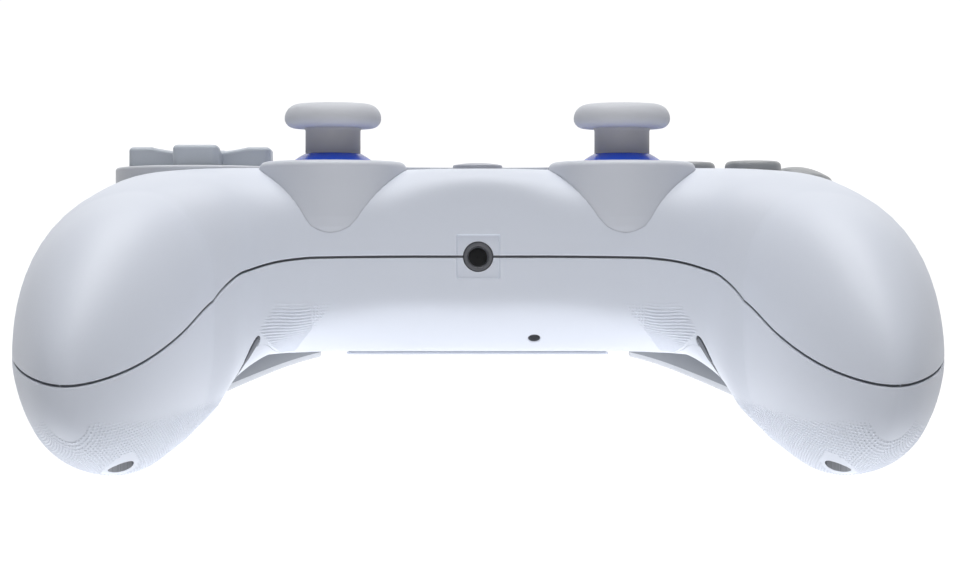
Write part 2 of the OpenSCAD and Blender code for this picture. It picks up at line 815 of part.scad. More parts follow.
module button_carrier(side) {
  color([0.3, 0.31, 0.33])
    on_side(side)
      difference() {
        union() {
          translate([side < 0 ? pad_x : cluster_x, pad_y, board_top])
            cylinder(h = carrier_top - board_top, r = carrier_r);
          block(carrier_arm[0], carrier_arm[1], carrier_arm[2], carrier_arm[3], board_top, carrier_top);
          if (side < 0)
            translate([pad_x, pad_y, board_top])
              cylinder(h = cross_pivot - 0.4 - board_top, r = carrier_post);
        }
        if (side < 0)
          translate([pad_x, pad_y, cross_pivot])
            sphere(ball_r + shaft_gap);
      }
}

module dpad_membrane() {
  color([0.2, 0.2, 0.22])
    translate([-pad_x, pad_y, carrier_top])
      difference() {
        cylinder(h = membrane_top - carrier_top, r = membrane_r);
        translate([0, 0, -1])
          cylinder(h = 4, r = carrier_post + button_gap);
      }
}

module button_membrane() {
  color([0.2, 0.2, 0.22])
    translate([0, 0, carrier_top])
      linear_extrude(membrane_top - carrier_top)
        difference() {
          translate([cluster_x, pad_y])
            circle(membrane_r + 0.6);
          translate([cluster_x, pad_y])
            circle(4);
        }
}

// Face buttons
module face_button(i, top) {
  soft = 0.9;
  p = button_places[i];
  color([0.54, 0.55, 0.57])
    translate([p[0], p[1], 0])
      rotate_extrude() {
        translate([0, button_foot])
          square([button_d / 2, top - soft - button_foot]);
        translate([0, button_foot])
          square([button_d / 2 - soft, top - button_foot]);
        translate([button_d / 2 - soft, top - soft])
          circle(soft);
      }
}

module near_button() {
  face_button(0, button_top - 0.3);
}

module far_button() {
  face_button(1, button_top - 1);
}

module inner_button() {
  face_button(2, button_top);
}

module outer_button() {
  dome = 11;
  color([0.54, 0.55, 0.57])
    translate([button_places[3][0], button_places[3][1], 0])
      intersection() {
        translate([0, 0, button_foot])
          cylinder(h = button_top - button_foot + 3, d = button_d);
        translate([0, 0, button_top - 1.15])
          rotate([0, outer_slope, 0])
            translate([0, 0, -dome])
              sphere(dome, $fn = 120);
      }
}

module home_button() {
  bow = 0.5;
  bow_r = (pow(home_d / 2, 2) + bow * bow) / (2 * bow);
  color([0.61, 0.62, 0.67])
    translate([0, stick_y, 0])
      intersection() {
        translate([0, 0, home_foot])
          cylinder(h = 12, d = home_d);
        translate([0, 0, home_top - bow_r])
          sphere(bow_r, $fn = 120);
      }
}

module menu_button(side) {
  color([0.61, 0.62, 0.67])
    on_side(side) {
      intersection() {
        skin_piece(true, 2, 5, 60, 150, 0.6, 1.8);
        pill_window(0);
      }
      translate([pill_at[0], pill_at[1], home_foot])
        cylinder(h = 8, r = 1.2);
    }
}

module touch_pad() {
  color([0.72, 0.74, 0.78])
    union() {
      intersection() {
        skin_piece(true, -3, 3, 60, 165, 0.8, 1.2);
        pad_window(0);
      }
      translate([touch_stub[0], touch_stub[1], home_foot])
        cylinder(h = 8, r = 1.6);
    }
}

// Shoulder buttons and triggers
module shoulder(side) {
  color([0.6, 0.62, 0.66])
    on_side(side)
      difference() {
        union() {
          intersection() {
            skin_piece(true, 3, 9, 90, 180, 0.7, 1.8);
            shoulder_bar(0, shoulder_start + shoulder_travel + button_gap);
          }
          trigger_frame()
            block(-6, 0, 6, 9.4, face_r * sin(top_angle) + 3, face_r * sin(top_angle) + 6);
        }
        translate([button_places[1][0], button_places[1][1], -20])
          cylinder(h = 24, r = button_d / 2 + shoulder_travel + 2 * button_gap);
        translate([pad_x, pad_y, -20])
          cylinder(h = 24, r = plate_r + shoulder_travel + button_gap);
      }
}

module trigger_outline() {
  intersection() {
    difference() {
      circle(face_r);
      circle(face_r - plate_t);
    }
    polygon([[0, 0], [30, 0], [30, 30 * tan(top_angle)]]);
  }
  intersection() {
    translate([bend_y, 0])
      difference() {
        circle(bend_r + plate_t, $fn = 96);
        circle(bend_r, $fn = 96);
      }
    translate([bend_y, 0])
      polygon([[0, 0], [-60, 0], [-60, -60], 2 * [lip_centre - bend_y, -trigger_drop]]);
  }
  translate([lip_centre, -trigger_drop])
    circle(lip_r);
}

module trigger(side) {
  color([0.56, 0.58, 0.62])
    on_side(side)
      trigger_frame()
        difference() {
          union() {
            rotate([90, 0, 90])
              translate([0, 0, -trigger_w / 2])
                linear_extrude(trigger_w)
                  trigger_outline();
            for (x = [-lug_x, lug_x]) {
              translate([x, 0, 0])
                rotate([0, 90, 0])
                  cylinder(h = lug_w, r = ear_r, center = true);
              block(x - lug_arm / 2, x + lug_arm / 2, 0, face_r - plate_t + 0.8, -lug_arm, lug_arm);
            }
          }
          rotate([0, 90, 0])
            cylinder(h = trigger_w + 4, r = pin_d / 2 + shaft_gap, center = true);
        }
}

module trigger_pin(side) {
  color([0.75, 0.76, 0.78])
    on_side(side)
      trigger_frame()
        rotate([0, 90, 0])
          cylinder(h = 2 * ear_x, d = pin_d, center = true);
}

module trigger_spring(side) {
  color([0.7, 0.7, 0.72])
    on_side(side)
      trigger_frame()
        rotate([0, 90, 0])
          difference() {
            cylinder(h = 2 * lug_x - lug_w - 1, r = spring_r, center = true);
            cylinder(h = 2 * lug_x, d = pin_d, center = true);
          }
}

module trigger_bracket(side) {
  color([0.3, 0.31, 0.33])
    on_side(side) {
      trigger_frame()
        difference() {
          union() {
            for (x = [-ear_x, ear_x - ear_t])
              translate([x, 0, 0]) {
                rotate([0, 90, 0])
                  cylinder(h = ear_t, r = ear_r);
                block(0, ear_t, -ear_r, ear_r, -base_drop, 0);
              }
            block(-ear_x, ear_x, -ear_r, ear_r, -base_drop, ear_t - base_drop);
          }
          rotate([0, 90, 0])
            cylinder(h = 3 * ear_x, d = pin_d, center = true);
        }
      translate([bracket_at[0], bracket_at[1], bracket_rise - body_height])
        cylinder(h = 3.6, r = bracket_foot_r);
    }
}

module back_button(side) {
  color([0.48, 0.5, 0.54])
    on_side(side)
      intersection() {
        skin_piece(false, 3, 9, 15, 120, 0.9, 1.4);
        back_window(0);
      }
}

// Ports, board and power
module light_bar() {
  color([0.82, 0.88, 0.96])
    intersection() {
      skin_piece(true, -3, 3, 105, 180, 0.15, 1.9);
      light_window(0);
    }
}

module usb_port() {
  color([0.6, 0.61, 0.63])
    union() {
      difference() {
        port_form(0, far_wall - 8, far_wall - 0.3);
        port_form(-0.5, far_wall - 6.5, far_wall + 1);
      }
      block(-3.3, 3.3, far_wall - 7, far_wall - 1.4, port_z - 0.35, port_z + 0.35);
    }
}

module headphone_jack() {
  color([0.2, 0.2, 0.22])
    difference() {
      union() {
        translate([0, 0.3 - front_wall, jack_z])
          rotate([-90, 0, 0])
            cylinder(h = 6, d = jack_ring);
        block(-jack_body_w / 2, jack_body_w / 2, jack_body_y - front_wall, jack_depth + 1.5 - front_wall,
          jack_z - jack_body_h / 2, jack_z + jack_body_h / 2);
      }
      translate([0, -front_wall, jack_z])
        rotate([-90, 0, 0])
          cylinder(h = jack_depth + 0.3, d = jack_bore);
    }
}

// head below the origin, shank above it
module screw(reach) {
  translate([0, 0, -head_h])
    cylinder(h = head_h, r = screw_r + 1);
  translate([0, 0, -0.1])
    cylinder(h = reach + 0.1, r = screw_r);
}

module housing_screws() {
  color([0.55, 0.56, 0.58])
    both_sides() {
      translate([screw_x, screw_y, grip_seat])
        screw(grip_meet - grip_seat + screw_bite);
      translate([far_screw[0], far_screw[1], far_seat])
        screw(far_meet - far_seat + screw_bite);
    }
}

module board_outline(tail) {
  difference() {
    union() {
      translate([-board_w / 2, -board_front])
        square([board_w, board_l]);
      translate([-wing_x, wing_y])
        square([2 * wing_x, wing_l]);
      translate([-tail_w / 2, wing_y])
        square([tail_w, tail - wing_y]);
    }
    translate([-jack_body_w / 2, -front_wall])
      square([jack_body_w, jack_depth + 1.5]);
    for (x = [-1, 1])
      translate([x * far_screw[0], far_screw[1]])
        circle(boss_hole);
  }
}

module main_board() {
  color([0.12, 0.35, 0.2])
    union() {
      upright(board_top - board_t, board_top)
        board_outline(far_wall - 3);
      translate([0, stick_y, 0]) {
        block(-switch_w / 2, switch_w / 2, -switch_w / 2, switch_w / 2, bridge_z, switch_top);
        block(-bridge_w / 2, bridge_w / 2, -switch_w / 2, switch_w / 2, bridge_z, bridge_z + bridge_t);
        both_sides()
          block(bridge_w / 2 - 2, bridge_w / 2, -switch_w / 2, switch_w / 2, board_top, bridge_z + 0.1);
      }
      for (p = [[-pill_at[0], pill_at[1]], pill_at, touch_stub])
        translate([p[0], p[1], board_top])
          cylinder(h = post_h, r = 1.05);
    }
}

module inner_frame() {
  color([0.22, 0.22, 0.24])
    upright(frame_base, board_top - board_t)
      board_outline(wing_y + wing_l);
}

module battery() {
  color([0.25, 0.35, 0.55])
    translate([0, battery_y, frame_base - battery_h])
      upright(0, battery_h)
        square([battery_w, battery_l], center = true);
}

// Rumble motors
module motor_body() {
  translate(motor_at)
    rotate([90, 0, 0])
      cylinder(h = motor_l, r = motor_r, center = true);
}

module rumble_motor(side) {
  color([0.66, 0.67, 0.7])
    on_side(side) {
      motor_body();
      translate(motor_at)
        rotate([90, 0, 0])
          cylinder(h = motor_l, r = motor_shaft);
    }
}

module rumble_weight(side) {
  color([0.5, 0.46, 0.36])
    on_side(side)
      translate([motor_at[0], motor_at[1] - motor_l / 2 - 1, motor_at[2]])
        rotate([90, 0, 0])
          difference() {
            union() {
              cylinder(h = weight_t, r = weight_hub);
              intersection() {
                cylinder(h = weight_t, r = weight_r);
                block(-weight_r, weight_r, -weight_r, 0, -1, weight_t + 1);
              }
            }
            translate([0, 0, -1])
              cylinder(h = weight_t + 2, r = motor_shaft + shaft_gap);
          }
}

module reset_plunger() {
  color([0.4, 0.41, 0.43])
    reset_frame()
      translate([0, 0, 0.9])
        cylinder(h = 5, d = reset_d - 2 * button_gap + 0.1);
}

at_rest() upper_shell();
at_rest() lower_shell();
at_rest() stick_bezel(-1);  // left_stick_bezel
at_rest() stick_bezel(1);  // right_stick_bezel
at_rest() dpad_plate();
at_rest() light_bar();
at_rest() usb_port();
at_rest() headphone_jack();
at_rest() housing_screws();
at_rest() main_board();
at_rest() inner_frame();
at_rest() battery();
at_rest() stick_module(-1);  // left_stick_module
at_rest() stick_module(1);  // right_stick_module
at_rest() button_carrier(-1);  // left_button_carrier
at_rest() button_carrier(1);  // right_button_carrier
at_rest() dpad_membrane();
at_rest() button_membrane();
at_rest() rumble_motor(-1);  // left_rumble_motor
at_rest() rumble_motor(1);  // right_rumble_motor
at_rest() trigger_bracket(-1);  // left_trigger_bracket
at_rest() trigger_bracket(1);  // right_trigger_bracket
at_rest() trigger_pin(-1);  // left_trigger_pin
at_rest() trigger_pin(1);  // right_trigger_pin
at_rest() trigger_spring(-1);  // left_trigger_spring
at_rest() trigger_spring(1);  // right_trigger_spring
at_rest() stick_gimbal(-1);  // left_stick_gimbal
at_rest() stick_gimbal(1);  // right_stick_gimbal
at_rest() stick_lever(-1);  // left_stick_lever
at_rest() stick_lever(1);  // right_stick_lever
at_rest() stick_stem(-1);  // left_stick_stem
at_rest() stick_stem(1);  // right_stick_stem
at_rest() stick_cap(-1);  // left_stick_cap
at_rest() stick_cap(1);  // right_stick_cap
at_rest() stick_dome(-1);  // left_stick_dome
at_rest() stick_dome(1);  // right_stick_dome
at_rest() dpad_pivot();
at_rest() dpad();
at_rest() near_button();
at_rest() far_button();
at_rest() inner_button();
at_rest() outer_button();
at_rest() home_button();
at_rest() menu_button(-1);  // share_button
at_rest() menu_button(1);  // options_button
at_rest() touch_pad();
at_rest() shoulder(-1);  // left_shoulder
at_rest() shoulder(1);  // right_shoulder
at_rest() trigger(-1);  // left_trigger
at_rest() trigger(1);  // right_trigger
at_rest() back_button(-1);  // left_back_button
at_rest() back_button(1);  // right_back_button
at_rest() reset_plunger();
at_rest() rumble_weight(-1);  // left_rumble_weight
at_rest() rumble_weight(1);  // right_rumble_weight
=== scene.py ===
"""Finished surfaces of a two-grip game controller, built around its packed frame.

Shapes are drawn in millimetres on the level controller: X to the player's right, Y away from the player,
Z up, with the top face at height zero. Each finished mesh is then set down in the resting frame, in metres.
"""

import json
import math
from collections import namedtuple

import bmesh
import bpy
import numpy as np
from bpy.props import FloatProperty, FloatVectorProperty, IntProperty, PointerProperty
from mathutils import Matrix, Vector
from mathutils.bvhtree import BVHTree


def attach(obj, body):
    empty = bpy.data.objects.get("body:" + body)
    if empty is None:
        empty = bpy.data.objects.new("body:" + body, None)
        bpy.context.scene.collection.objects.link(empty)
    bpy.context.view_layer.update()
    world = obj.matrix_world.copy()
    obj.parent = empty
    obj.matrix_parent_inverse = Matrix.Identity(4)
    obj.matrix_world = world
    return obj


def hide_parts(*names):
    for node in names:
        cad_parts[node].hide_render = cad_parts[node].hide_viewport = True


bl_info = {
    "name": "Game controller surfaces",
    "version": (1, 0, 0),
    "blender": (4, 5, 0),
    "location": "View3D > Sidebar > Controller",
    "description": "Builds the finished pieces of a two-grip game controller on its packed frame",
    "category": "Object",
}

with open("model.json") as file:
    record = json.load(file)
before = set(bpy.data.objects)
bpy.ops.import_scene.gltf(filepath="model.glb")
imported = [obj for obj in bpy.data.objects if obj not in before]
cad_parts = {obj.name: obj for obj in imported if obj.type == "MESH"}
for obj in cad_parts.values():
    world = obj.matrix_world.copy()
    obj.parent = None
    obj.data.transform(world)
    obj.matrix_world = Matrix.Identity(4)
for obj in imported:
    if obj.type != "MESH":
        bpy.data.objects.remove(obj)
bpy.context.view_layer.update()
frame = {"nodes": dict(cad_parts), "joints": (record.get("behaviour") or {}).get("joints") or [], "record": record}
JOINTS = {joint["name"]: joint for joint in frame["joints"]}
MM = 0.001
# points that lie this close are welded, on all closed meshes and on turned pieces, in millimetres
WELD, TURNED_WELD = 1e-5, 0.002
SIDES = {"left": -1, "right": 1}

# Places on the level controller, in millimetres
STICK_AT = (26.5, -4.0)
PIVOT_Z = -8.0
PAD_AT = (52.0, 12.0)
BUTTON_CENTRE = (51.1, 12.0)
BUTTON_RING = 11.2
TOUCH_AT = (0.0, 22.6)
PILL_AT = (29.4, 21.0)
LIGHT_Z = -8.7
TRIGGER_AT = (43.45, 24.4, -20.0)
TRIGGER_YAW, TRIGGER_ROLL = 18.0, 21.5
BACK_AT = (40.8, -11.0, -35.2)
BACK_TURN = (-11.5, 39.6)
# place and directions of the dark leaf of painted shade by the right back button
EDGE_AT = (41.0, -20.7, -34.6)
EDGE_ALONG = (0.514, -0.02, -0.858)
EDGE_IN = (0.789, 0.329, 0.519)
RESET_AT = (10.2, -10.5, -31.2)
RESET_TILT = 33.0
JACK_Z = -16.6
PORT_Z = -13.3
GRIP_SCREW = (60.4, -46.3, -48.5)
FAR_SCREW = (31.0, 13.0, -28.8)
LABEL_AT = (0.0, 8.0)
BUTTON_FOOT = -10.3
# the far button keeps clear of the pressed shoulder key
FAR_INWARD, FAR_NEARER = 0.8, 0.4
# floor just under the lowest studs and the lamps on it, in metres
FLOOR_Z, LAMP_Z = -0.0007, -0.0006

# Sizes of the controls, in millimetres and degrees. A rectangle has a width, a depth and a corner radius.
TOUCH_SIZE = (52.0, 27.0, 3.0)
PILL_SIZE = (3.0, 7.0, 1.49)
LIGHT_SIZE = (34.0, 4.2, 2.0)
PORT_SIZE = (9.2, 3.4, 1.6)
BACK_SIZE = (8.6, 20.0, 4.0)
LABEL_SIZE = (48.0, 26.0, 2.0)
# steps of the raised label pad: growth of its outline and height over the underside
LABEL_STEPS = ((-0.4, -0.5), (-0.4, 0.2), (0.0, 0.2), (0.0, 0.45), (-0.12, 0.57))
# half width, half length and taper of the leaf-shaped dark sheet of painted shade at the near end of a back button
SHADE_LEAF = (0.44, 4.08, 0.5)
BACK_GAP, EDGE_GAP = 0.05, 0.36
# height and corners of a shoulder key, its rise above the trigger's upper end and its least height
SHOULDER_H, SHOULDER_ROUND, SHOULDER_RISE, SHOULDER_LEAST = 6.0, 1.6, 4.55, 5.0
# how far each key stands proud of the skin, reaches below it and is rounded at its edge
KEY_FIT = {"touch": (0.8, 1.2, 0.3), "light": (0.15, 1.9, 0.3), "pill": (0.6, 1.8, 0.5),
           "shoulder": (0.7, 1.4, 0.6), "back": (0.02, 1.4, 0.04), "edge": (0.08, 1.2, 0.1)}
# lower and upper end of the cut for each window and its soft edge, None for the housing's own
WINDOWS = {"pill": (-10, 6, None), "shoulder": (4, 40, None), "button": (-12, 8, None),
           "plate": (-12, 6, None), "home": (-12, 6, None), "touch": (-11, 6, 0.15),
           "light": (30, 50, 0.1), "port": (30, 50, None),
           "back": (-9, 12, 0.02), "edge": (-3, 6, 0.03), "reset": (-6, 6, 0.15)}
RESET_HOLE = 1.1

# outside of a stick collar as steps from its rim radius and heights, its round lip, the upper end of
# the cut for it, and its bore
COLLAR_SIDE = ((-0.55, -12.6), (-0.41, -12.1), (-0.09, -11.2), (0.15, -9.4), (0.15, -7.0), (0.03, -4.0),
               (0.0, -0.4))
COLLAR_TOP, COLLAR_LIP = 0.8, 0.4
COLLAR_OPEN = (0.0, 4.0)
COLLAR_BORE = ((10.5, -2.3), (12.1, -2.3), (12.1, -9.4), (11.2, -9.4), (11.2, -12.6))
# dish of a stick cap: margin to the cap's edge, depth and rise towards its rim
CAP_DISH = (3.8, 0.75, 0.6)
# brim between the dish and the round edge, inwards and down from where that edge begins
CAP_BRIM = (0.3, 0.05)
# share of a cap's thickness above its widest place, and the hollow under it as radii and heights
CAP_OVER, CAP_UNDER = 0.6, 0.4
CAP_HOLLOW = ((5.2, 0), (4.9, 0.2), (0, 0.2))
# flare of a stem under the cap, as growth of its radius and height from the cap's base, and its foot
STEM_FLARE, STEM_FOOT = ((0, -0.5), (0.12, -0.15), (0.3, 0.1)), 0.4
# wall of the ball skirt and the angle at which it opens below
SKIRT_WALL, SKIRT_OPEN = 0.9, 22
# cross pad: flat of its tips, round tips, tight inner corners, soft edge, foot and gap to the plate
TIP_FLAT, CROSS_ROUND, CROSS_CORNER = 3.6, 1.3, 0.35
CROSS_SOFT, CROSS_FOOT, CROSS_GAP = 0.8, -1.6, 0.75
# window in the plate: ends of its cut, its soft edge, and the half width from which that edge grows
CROSS_CUT, CROSS_EDGE, CROSS_HALF = (-8, 3), 0.18, 13
# plate round the cross pad: its foot, and the wall, upper and lower end of the skirt under it
PLATE_SOFT, PLATE_BASE = 0.6, -5.5
PLATE_WALL, PLATE_TOP, PLATE_FOOT = 1.2, -5.3, -11.5
# room for the shoulder key in that skirt: beside the key, above and below it, and outwards
KEY_ROOM = (0.5, 0.6, 40)
# lowering, dome and outward slope of the top of each face button
FACE_TOPS = {"near": (0.3, 0.2, 0), "far": (1.0, 0.2, 0), "inner": (0, 0.2, 0), "outer": (1.15, 1.3, 11)}
FACE_SOFT = 0.9
# height, dome, soft edge and foot of the home button
HOME_TOP, HOME_DOME, HOME_SOFT, HOME_FOOT = 0.75, 0.45, 0.25, -9.0

# trigger: reach and upper end of its round top about the pin, thickness, drop and reach of its lip
TRIGGER_REACH, TRIGGER_TOP, TRIGGER_PLATE, TRIGGER_DROP, TRIGGER_LIP = 12.0, 42, 3.0, 19.7, 20.2
# further drop at the inner and the outer end of the lip, which grows from a margin at the middle
LIP_INNER, LIP_OUTER, LIP_MARGIN, LIP_RUN = 0.85, 0.25, 1, 11
# place, bore, radius and half length of the hinge lugs, and half width, root and half height of their arms
LUG_AT, LUG_BORE, LUG_R, LUG_HALF = 6.5, 1.54, 3.2, 3
ARM_HALF, ARM_ROOT, ARM_HEIGHT, ARM_SINK = 1.2, 2.0, 2.4, 0.8
# dark sheet of painted shade on a trigger's back: margin at its ends, upper end, and outer and inner skin about
# the blade's back
SHADE_SHEET_MARGIN, SHADE_SHEET_TOP, SHADE_SHEET_PROUD, SHADE_SHEET_SINK = 0.3, 186, 0.05, 0.3
# its distance from the lip, and how that grows along the pin
SHADE_SHEET_LIP, SHADE_SHEET_SLANT = 1.5, 0.03
# opening for a trigger: side clearance, and its near low and far high corner in the trigger's frame
TRIGGER_CLEAR, OPENING_LOW, OPENING_HIGH = 0.6, (6, -45), (45, 8.53)

# headphone jack: bore, ring and body radii, set-back, depth of the bore and length of the barrel
JACK_BORE, JACK_RING, JACK_BODY = 1.8, 2.65, 3.4
JACK_BACK, JACK_DEPTH, JACK_LENGTH, JACK_NECK = 0.3, 14, 15.2, 6
# edge of its bore, and the rounding of its ring inside and outside
JACK_EDGE, JACK_IN, JACK_OUT = 0.5, 0.35, 0.25
# dark sleeve inside its bore, as radii and heights from the ring, and the two ends of the cut for it
JACK_SLEEVE = ((1.72, -13.9), (1.72, -0.8), (1.79, -0.7), (1.79, -13.9))
JACK_CUT = (-8, 3)
# square recess round the jack: width, extra height, corners, flare, depth, and steps out of the wall
RECESS_SIZE, RECESS_TALL, RECESS_ROUND, RECESS_FLARE, RECESS_DEPTH = 7.4, 0.2, 0.15, 0.3, 0.4
RECESS_OUT = (0.05, 2)
# charging socket: its rings as growth of the outline and depth, and the rectangle and rings of its tongue
SOCKET_BACK = 0.3
SOCKET_RINGS = ((0, 7.7), (0, 0.1), (-0.1, 0), (-0.4, 0), (-0.5, 0.15), (-0.5, 6.2))
TONGUE_SIZE = (6.6, 0.7, 0.3)
TONGUE_RINGS = ((1, 6.5), (1, 1.4), (0.9, 1.1))
# round screw hole and the oval one in a grip: half sizes and turn, and the ends and edge of their cut
SCREW_HOLE, GRIP_HOLE = 2.3, (2.5, 1.2, 40.7)
SCREW_ROOM, SCREW_CUT, SCREW_EDGE = 6, 70, 0.05
# length, width and depth of a slot of the cross in a screw's head
SCREW_SLOT = (2.6, 0.55, 1.4)

# upper and far edge of the studded skin over places across the controller
STUD_TOP = ((25, 36, 39, 43, 54, 57, 68, 76), (-24.3, -24.3, -29, -40, -43, -43.4, -43, -43))
STUD_FAR = ((30, 38, 50), (-6, -6, 25))
# slanted inner edge of the studded skin: place, height, lean and sharpness
STUD_INNER = (25.4, -24.7, 0.87, 3)
# share of the section where the studs end towards the outer seam and over which they fade there, the
# fade below the upper edge, and the least share of the height that is kept
STUD_OUTER, STUD_OUTER_FADE, STUD_TOP_FADE, STUD_LEAST = 0.88, 0.14, 2.0, 0.02
# start of the studs before the turn of the body, and their end before the grip's tip
STUD_BEFORE, STUD_SHORT = 7, 3
# plain skin round the screw and the back button, width of a stud as a share of the pitch, and its sink
STUD_FREE, STUD_MARGIN, STUD_WIDTH, STUD_SINK = 3.4, 0.5, 0.68, 0.01
# steps ahead along the loft for its direction, as a length and as a closing angle, and the least
# stretch of the skin for a step along the loft
STEP_ALONG, STEP_CLOSING, LEAST_STRETCH = 0.2, 0.3, 0.35

# share of painted shade over depths below the skin, and how dark that painted shade makes the tint
PAINTED_SHADE_BY_DEPTH = ((0.49, 0.51, 1.2, 1.4), (0.0, 0.5, 0.5, 1.0))
PAINTED_SHADE_TINT = 0.26
# scale of the broad unevenness of all finishes, depth of their relief in metres, and gloss of a coat
BROAD_GRAIN, RELIEF_DEPTH, COAT_ROUGH = 55.0, 0.0002, 0.12

# Camera of the photographed view, on the level controller
CAMERA_AT = (-4.9, -519.0, -22.2)
CAMERA_YAW = 0.596
FOCAL_PIXELS = 2807.0
IMAGE_WIDTH = 960

# Stage: paint and glow of the floor, the share of glow that is seen, and colour and strengths of the room
FLOOR_PAINT, FLOOR_GLOW, GLOW_SHARE = (0.5, 0.505, 0.52, 1.0), 1.25, 0.8
ROOM_COLOUR, ROOM_DIM, ROOM_SEEN = (0.96, 0.97, 1.0, 1.0), 0.05, 1.0
# place, target, size and watts of each soft box, in metres
SOFT_BOXES = {
    "top_box": ((0.0, 0.15, 1.5), (0.0, 0.15, 0.0), (1.6, 1.6), 26.0),
    "front_box": ((0.0, -1.3, 0.25), (0.0, 0.0, 0.03), (1.0, 0.4), 1.3),
    "back_box": ((0.0, 0.9, 0.7), (0.0, 0.0, 0.03), (1.2, 0.6), 0.6),
    "near_box": ((0.0, -0.25, LAMP_Z), (0.0, -0.25, 1.0), (0.7, 0.3), 0.55),
    "floor_box": ((0.0, -0.016, LAMP_Z), (0.0, -0.016, 1.0), (0.17, 0.09), 0.04),
    "lip_box": ((0.0, 0.052, LAMP_Z), (0.0, 0.052, 1.0), (0.12, 0.022), 0.008),
}


def length(name, description, millimetres):
    """A size of the controller, kept in metres."""
    return FloatProperty(name=name, description=description, default=millimetres * MM,
                         unit="LENGTH", precision=5)


def angle(name, description, degrees):
    """An angle of the controller."""
    return FloatProperty(name=name, description=description, default=math.radians(degrees), unit="ROTATION")


def colour(name, description, value):
    """A surface colour, as the eye sees it on a screen."""
    linear = [((c + 0.055) / 1.055) ** 2.4 if c > 0.04045 else c / 12.92 for c in value]
    return FloatVectorProperty(name=name, description=description, default=linear, subtype="COLOR",
                               min=0.0, max=1.0)


def mm(value):
    """A stored size in millimetres."""
    return value / MM


class ControllerHousing(bpy.types.PropertyGroup):
    """Sizes of the two moulded shells"""
    front_wall: length("Front wall", "Mid line to the wall that faces the player", 17.2)
    far_wall: length("Far wall", "Mid line to the wall with the charging socket", 39.5)
    body_height: length("Body height", "Top face to the flat underside", 33.8)
    wall: length("Wall", "Thickness of both shells", 2.2)
    seam_gap: length("Seam", "Open seam between the shells", 0.42)
    edge: length("Edge", "Soft edge of windows and seams", 0.22)
    grip_length: length("Grip length", "Length of each grip past the turn of the body", 33.0)
    grip_splay: angle("Grip splay", "Outward lean of each grip in plan", 14.0)
    stud_pitch: length("Stud pitch", "Distance between the grip studs", 0.58)
    stud_height: length("Stud height", "Height of a grip stud", 0.2)


class ControllerControls(bpy.types.PropertyGroup):
    """Sizes of sticks, buttons and triggers"""
    cap_d: length("Cap diameter", "Width of a stick cap", 17.7)
    cap_top: length("Cap height", "Top of a stick cap above the top face", 11.5)
    cap_h: length("Cap thickness", "Thickness of a stick cap", 4.4)
    stem_d: length("Stem diameter", "Width of a stick stem", 10.1)
    skirt_r: length("Skirt radius", "Outer radius of the ball skirt", 11.6)
    collar_r: length("Collar radius", "Radius of a stick collar at its rim", 13.45)
    cross_span: length("Cross span", "Tip to tip size of the cross pad", 26.6)
    cross_arm: length("Cross arm", "Width of an arm of the cross pad", 8.4)
    cross_top: length("Cross height", "Height of the arm tips", 4.25)
    cross_dish: length("Cross dish", "Depth of the dish in the cross pad", 1.2)
    plate_r: length("Plate radius", "Radius of the plate round the cross pad", 16.1)
    plate_top: length("Plate height", "Height of that plate", 0.4)
    button_d: length("Button diameter", "Width of a face button", 10.4)
    button_top: length("Button height", "Height of the tallest face button", 1.7)
    home_d: length("Home diameter", "Width of the home button", 9.1)
    trigger_w: length("Trigger width", "Width of a trigger", 24.8)
    button_gap: length("Button gap", "Gap round a moving button", 0.3)
    trim_gap: length("Trim gap", "Gap round fixed trim", 0.08)
    segments: IntProperty(name="Segments", description="Faces round a turned piece", default=96, min=24)


class ControllerColours(bpy.types.PropertyGroup):
    """Colours of the finishes"""
    shell: colour("Housing", "Off-white moulded shells", (0.868, 0.888, 0.93))
    collar: colour("Collar", "Stick collars", (0.828, 0.842, 0.876))
    cap: colour("Cap", "Soft stick caps", (0.825, 0.834, 0.858))
    stem: colour("Stem", "Stick stems", (0.69, 0.688, 0.692))
    skirt: colour("Skirt", "Glossy ball skirts", (0.13, 0.35, 0.93))
    cross: colour("Cross pad", "Cross pad", (0.76, 0.785, 0.82))
    plate: colour("Pad plate", "Plate round the cross pad", (0.79, 0.8, 0.825))
    button: colour("Buttons", "Face buttons", (0.585, 0.594, 0.605))
    small: colour("Small buttons", "Home and menu buttons", (0.725, 0.734, 0.77))
    trigger: colour("Triggers", "Triggers and shoulder buttons", (0.82, 0.835, 0.865))
    # painted shade: dark grey for the sheet on the back of each trigger, where the body shades it
    painted_shade_sheet: colour("Trigger lining", "Inner face of the triggers", (0.55, 0.57, 0.605))
    # painted shade: dark grey for the leaf-shaped sheet by each back button, standing in for the shadowed gap
    # there
    back: colour("Back leaf shade", "Back leaf shade on the inner flanks", (0.42, 0.435, 0.47))
    touch: colour("Touch pad", "Touch pad", (0.74, 0.755, 0.79))
    jack: colour("Jack", "Headphone jack", (0.3, 0.305, 0.325))


# Level controller to resting frame
def level_matrix():
    """Millimetres on the level controller to metres in the resting frame."""
    away = Vector(JOINTS["right_stick_sideways"]["axis"])
    up = -Vector(JOINTS["right_stick_click"]["axis"])
    turn = Matrix((away.cross(up), away, up)).transposed()
    pivot = Vector((*STICK_AT, PIVOT_Z)) * MM
    origin = Vector(JOINTS["right_stick_forward"]["pos_m"]) - turn @ pivot
    return Matrix.Translation(origin) @ turn.to_4x4() @ Matrix.Scale(MM, 4)


LEVEL = level_matrix()


def upright(x, y):
    """Frame with its third axis up, at the height of the top face."""
    return Matrix.Translation((x, y, 0))


def on_side(place, side):
    """Upright frame at a place, on one side of the controller."""
    return upright(side * place[0], place[1])


def turn_about(axis, degrees, size=3):
    """Turn about one axis."""
    return Matrix.Rotation(math.radians(degrees), size, axis)


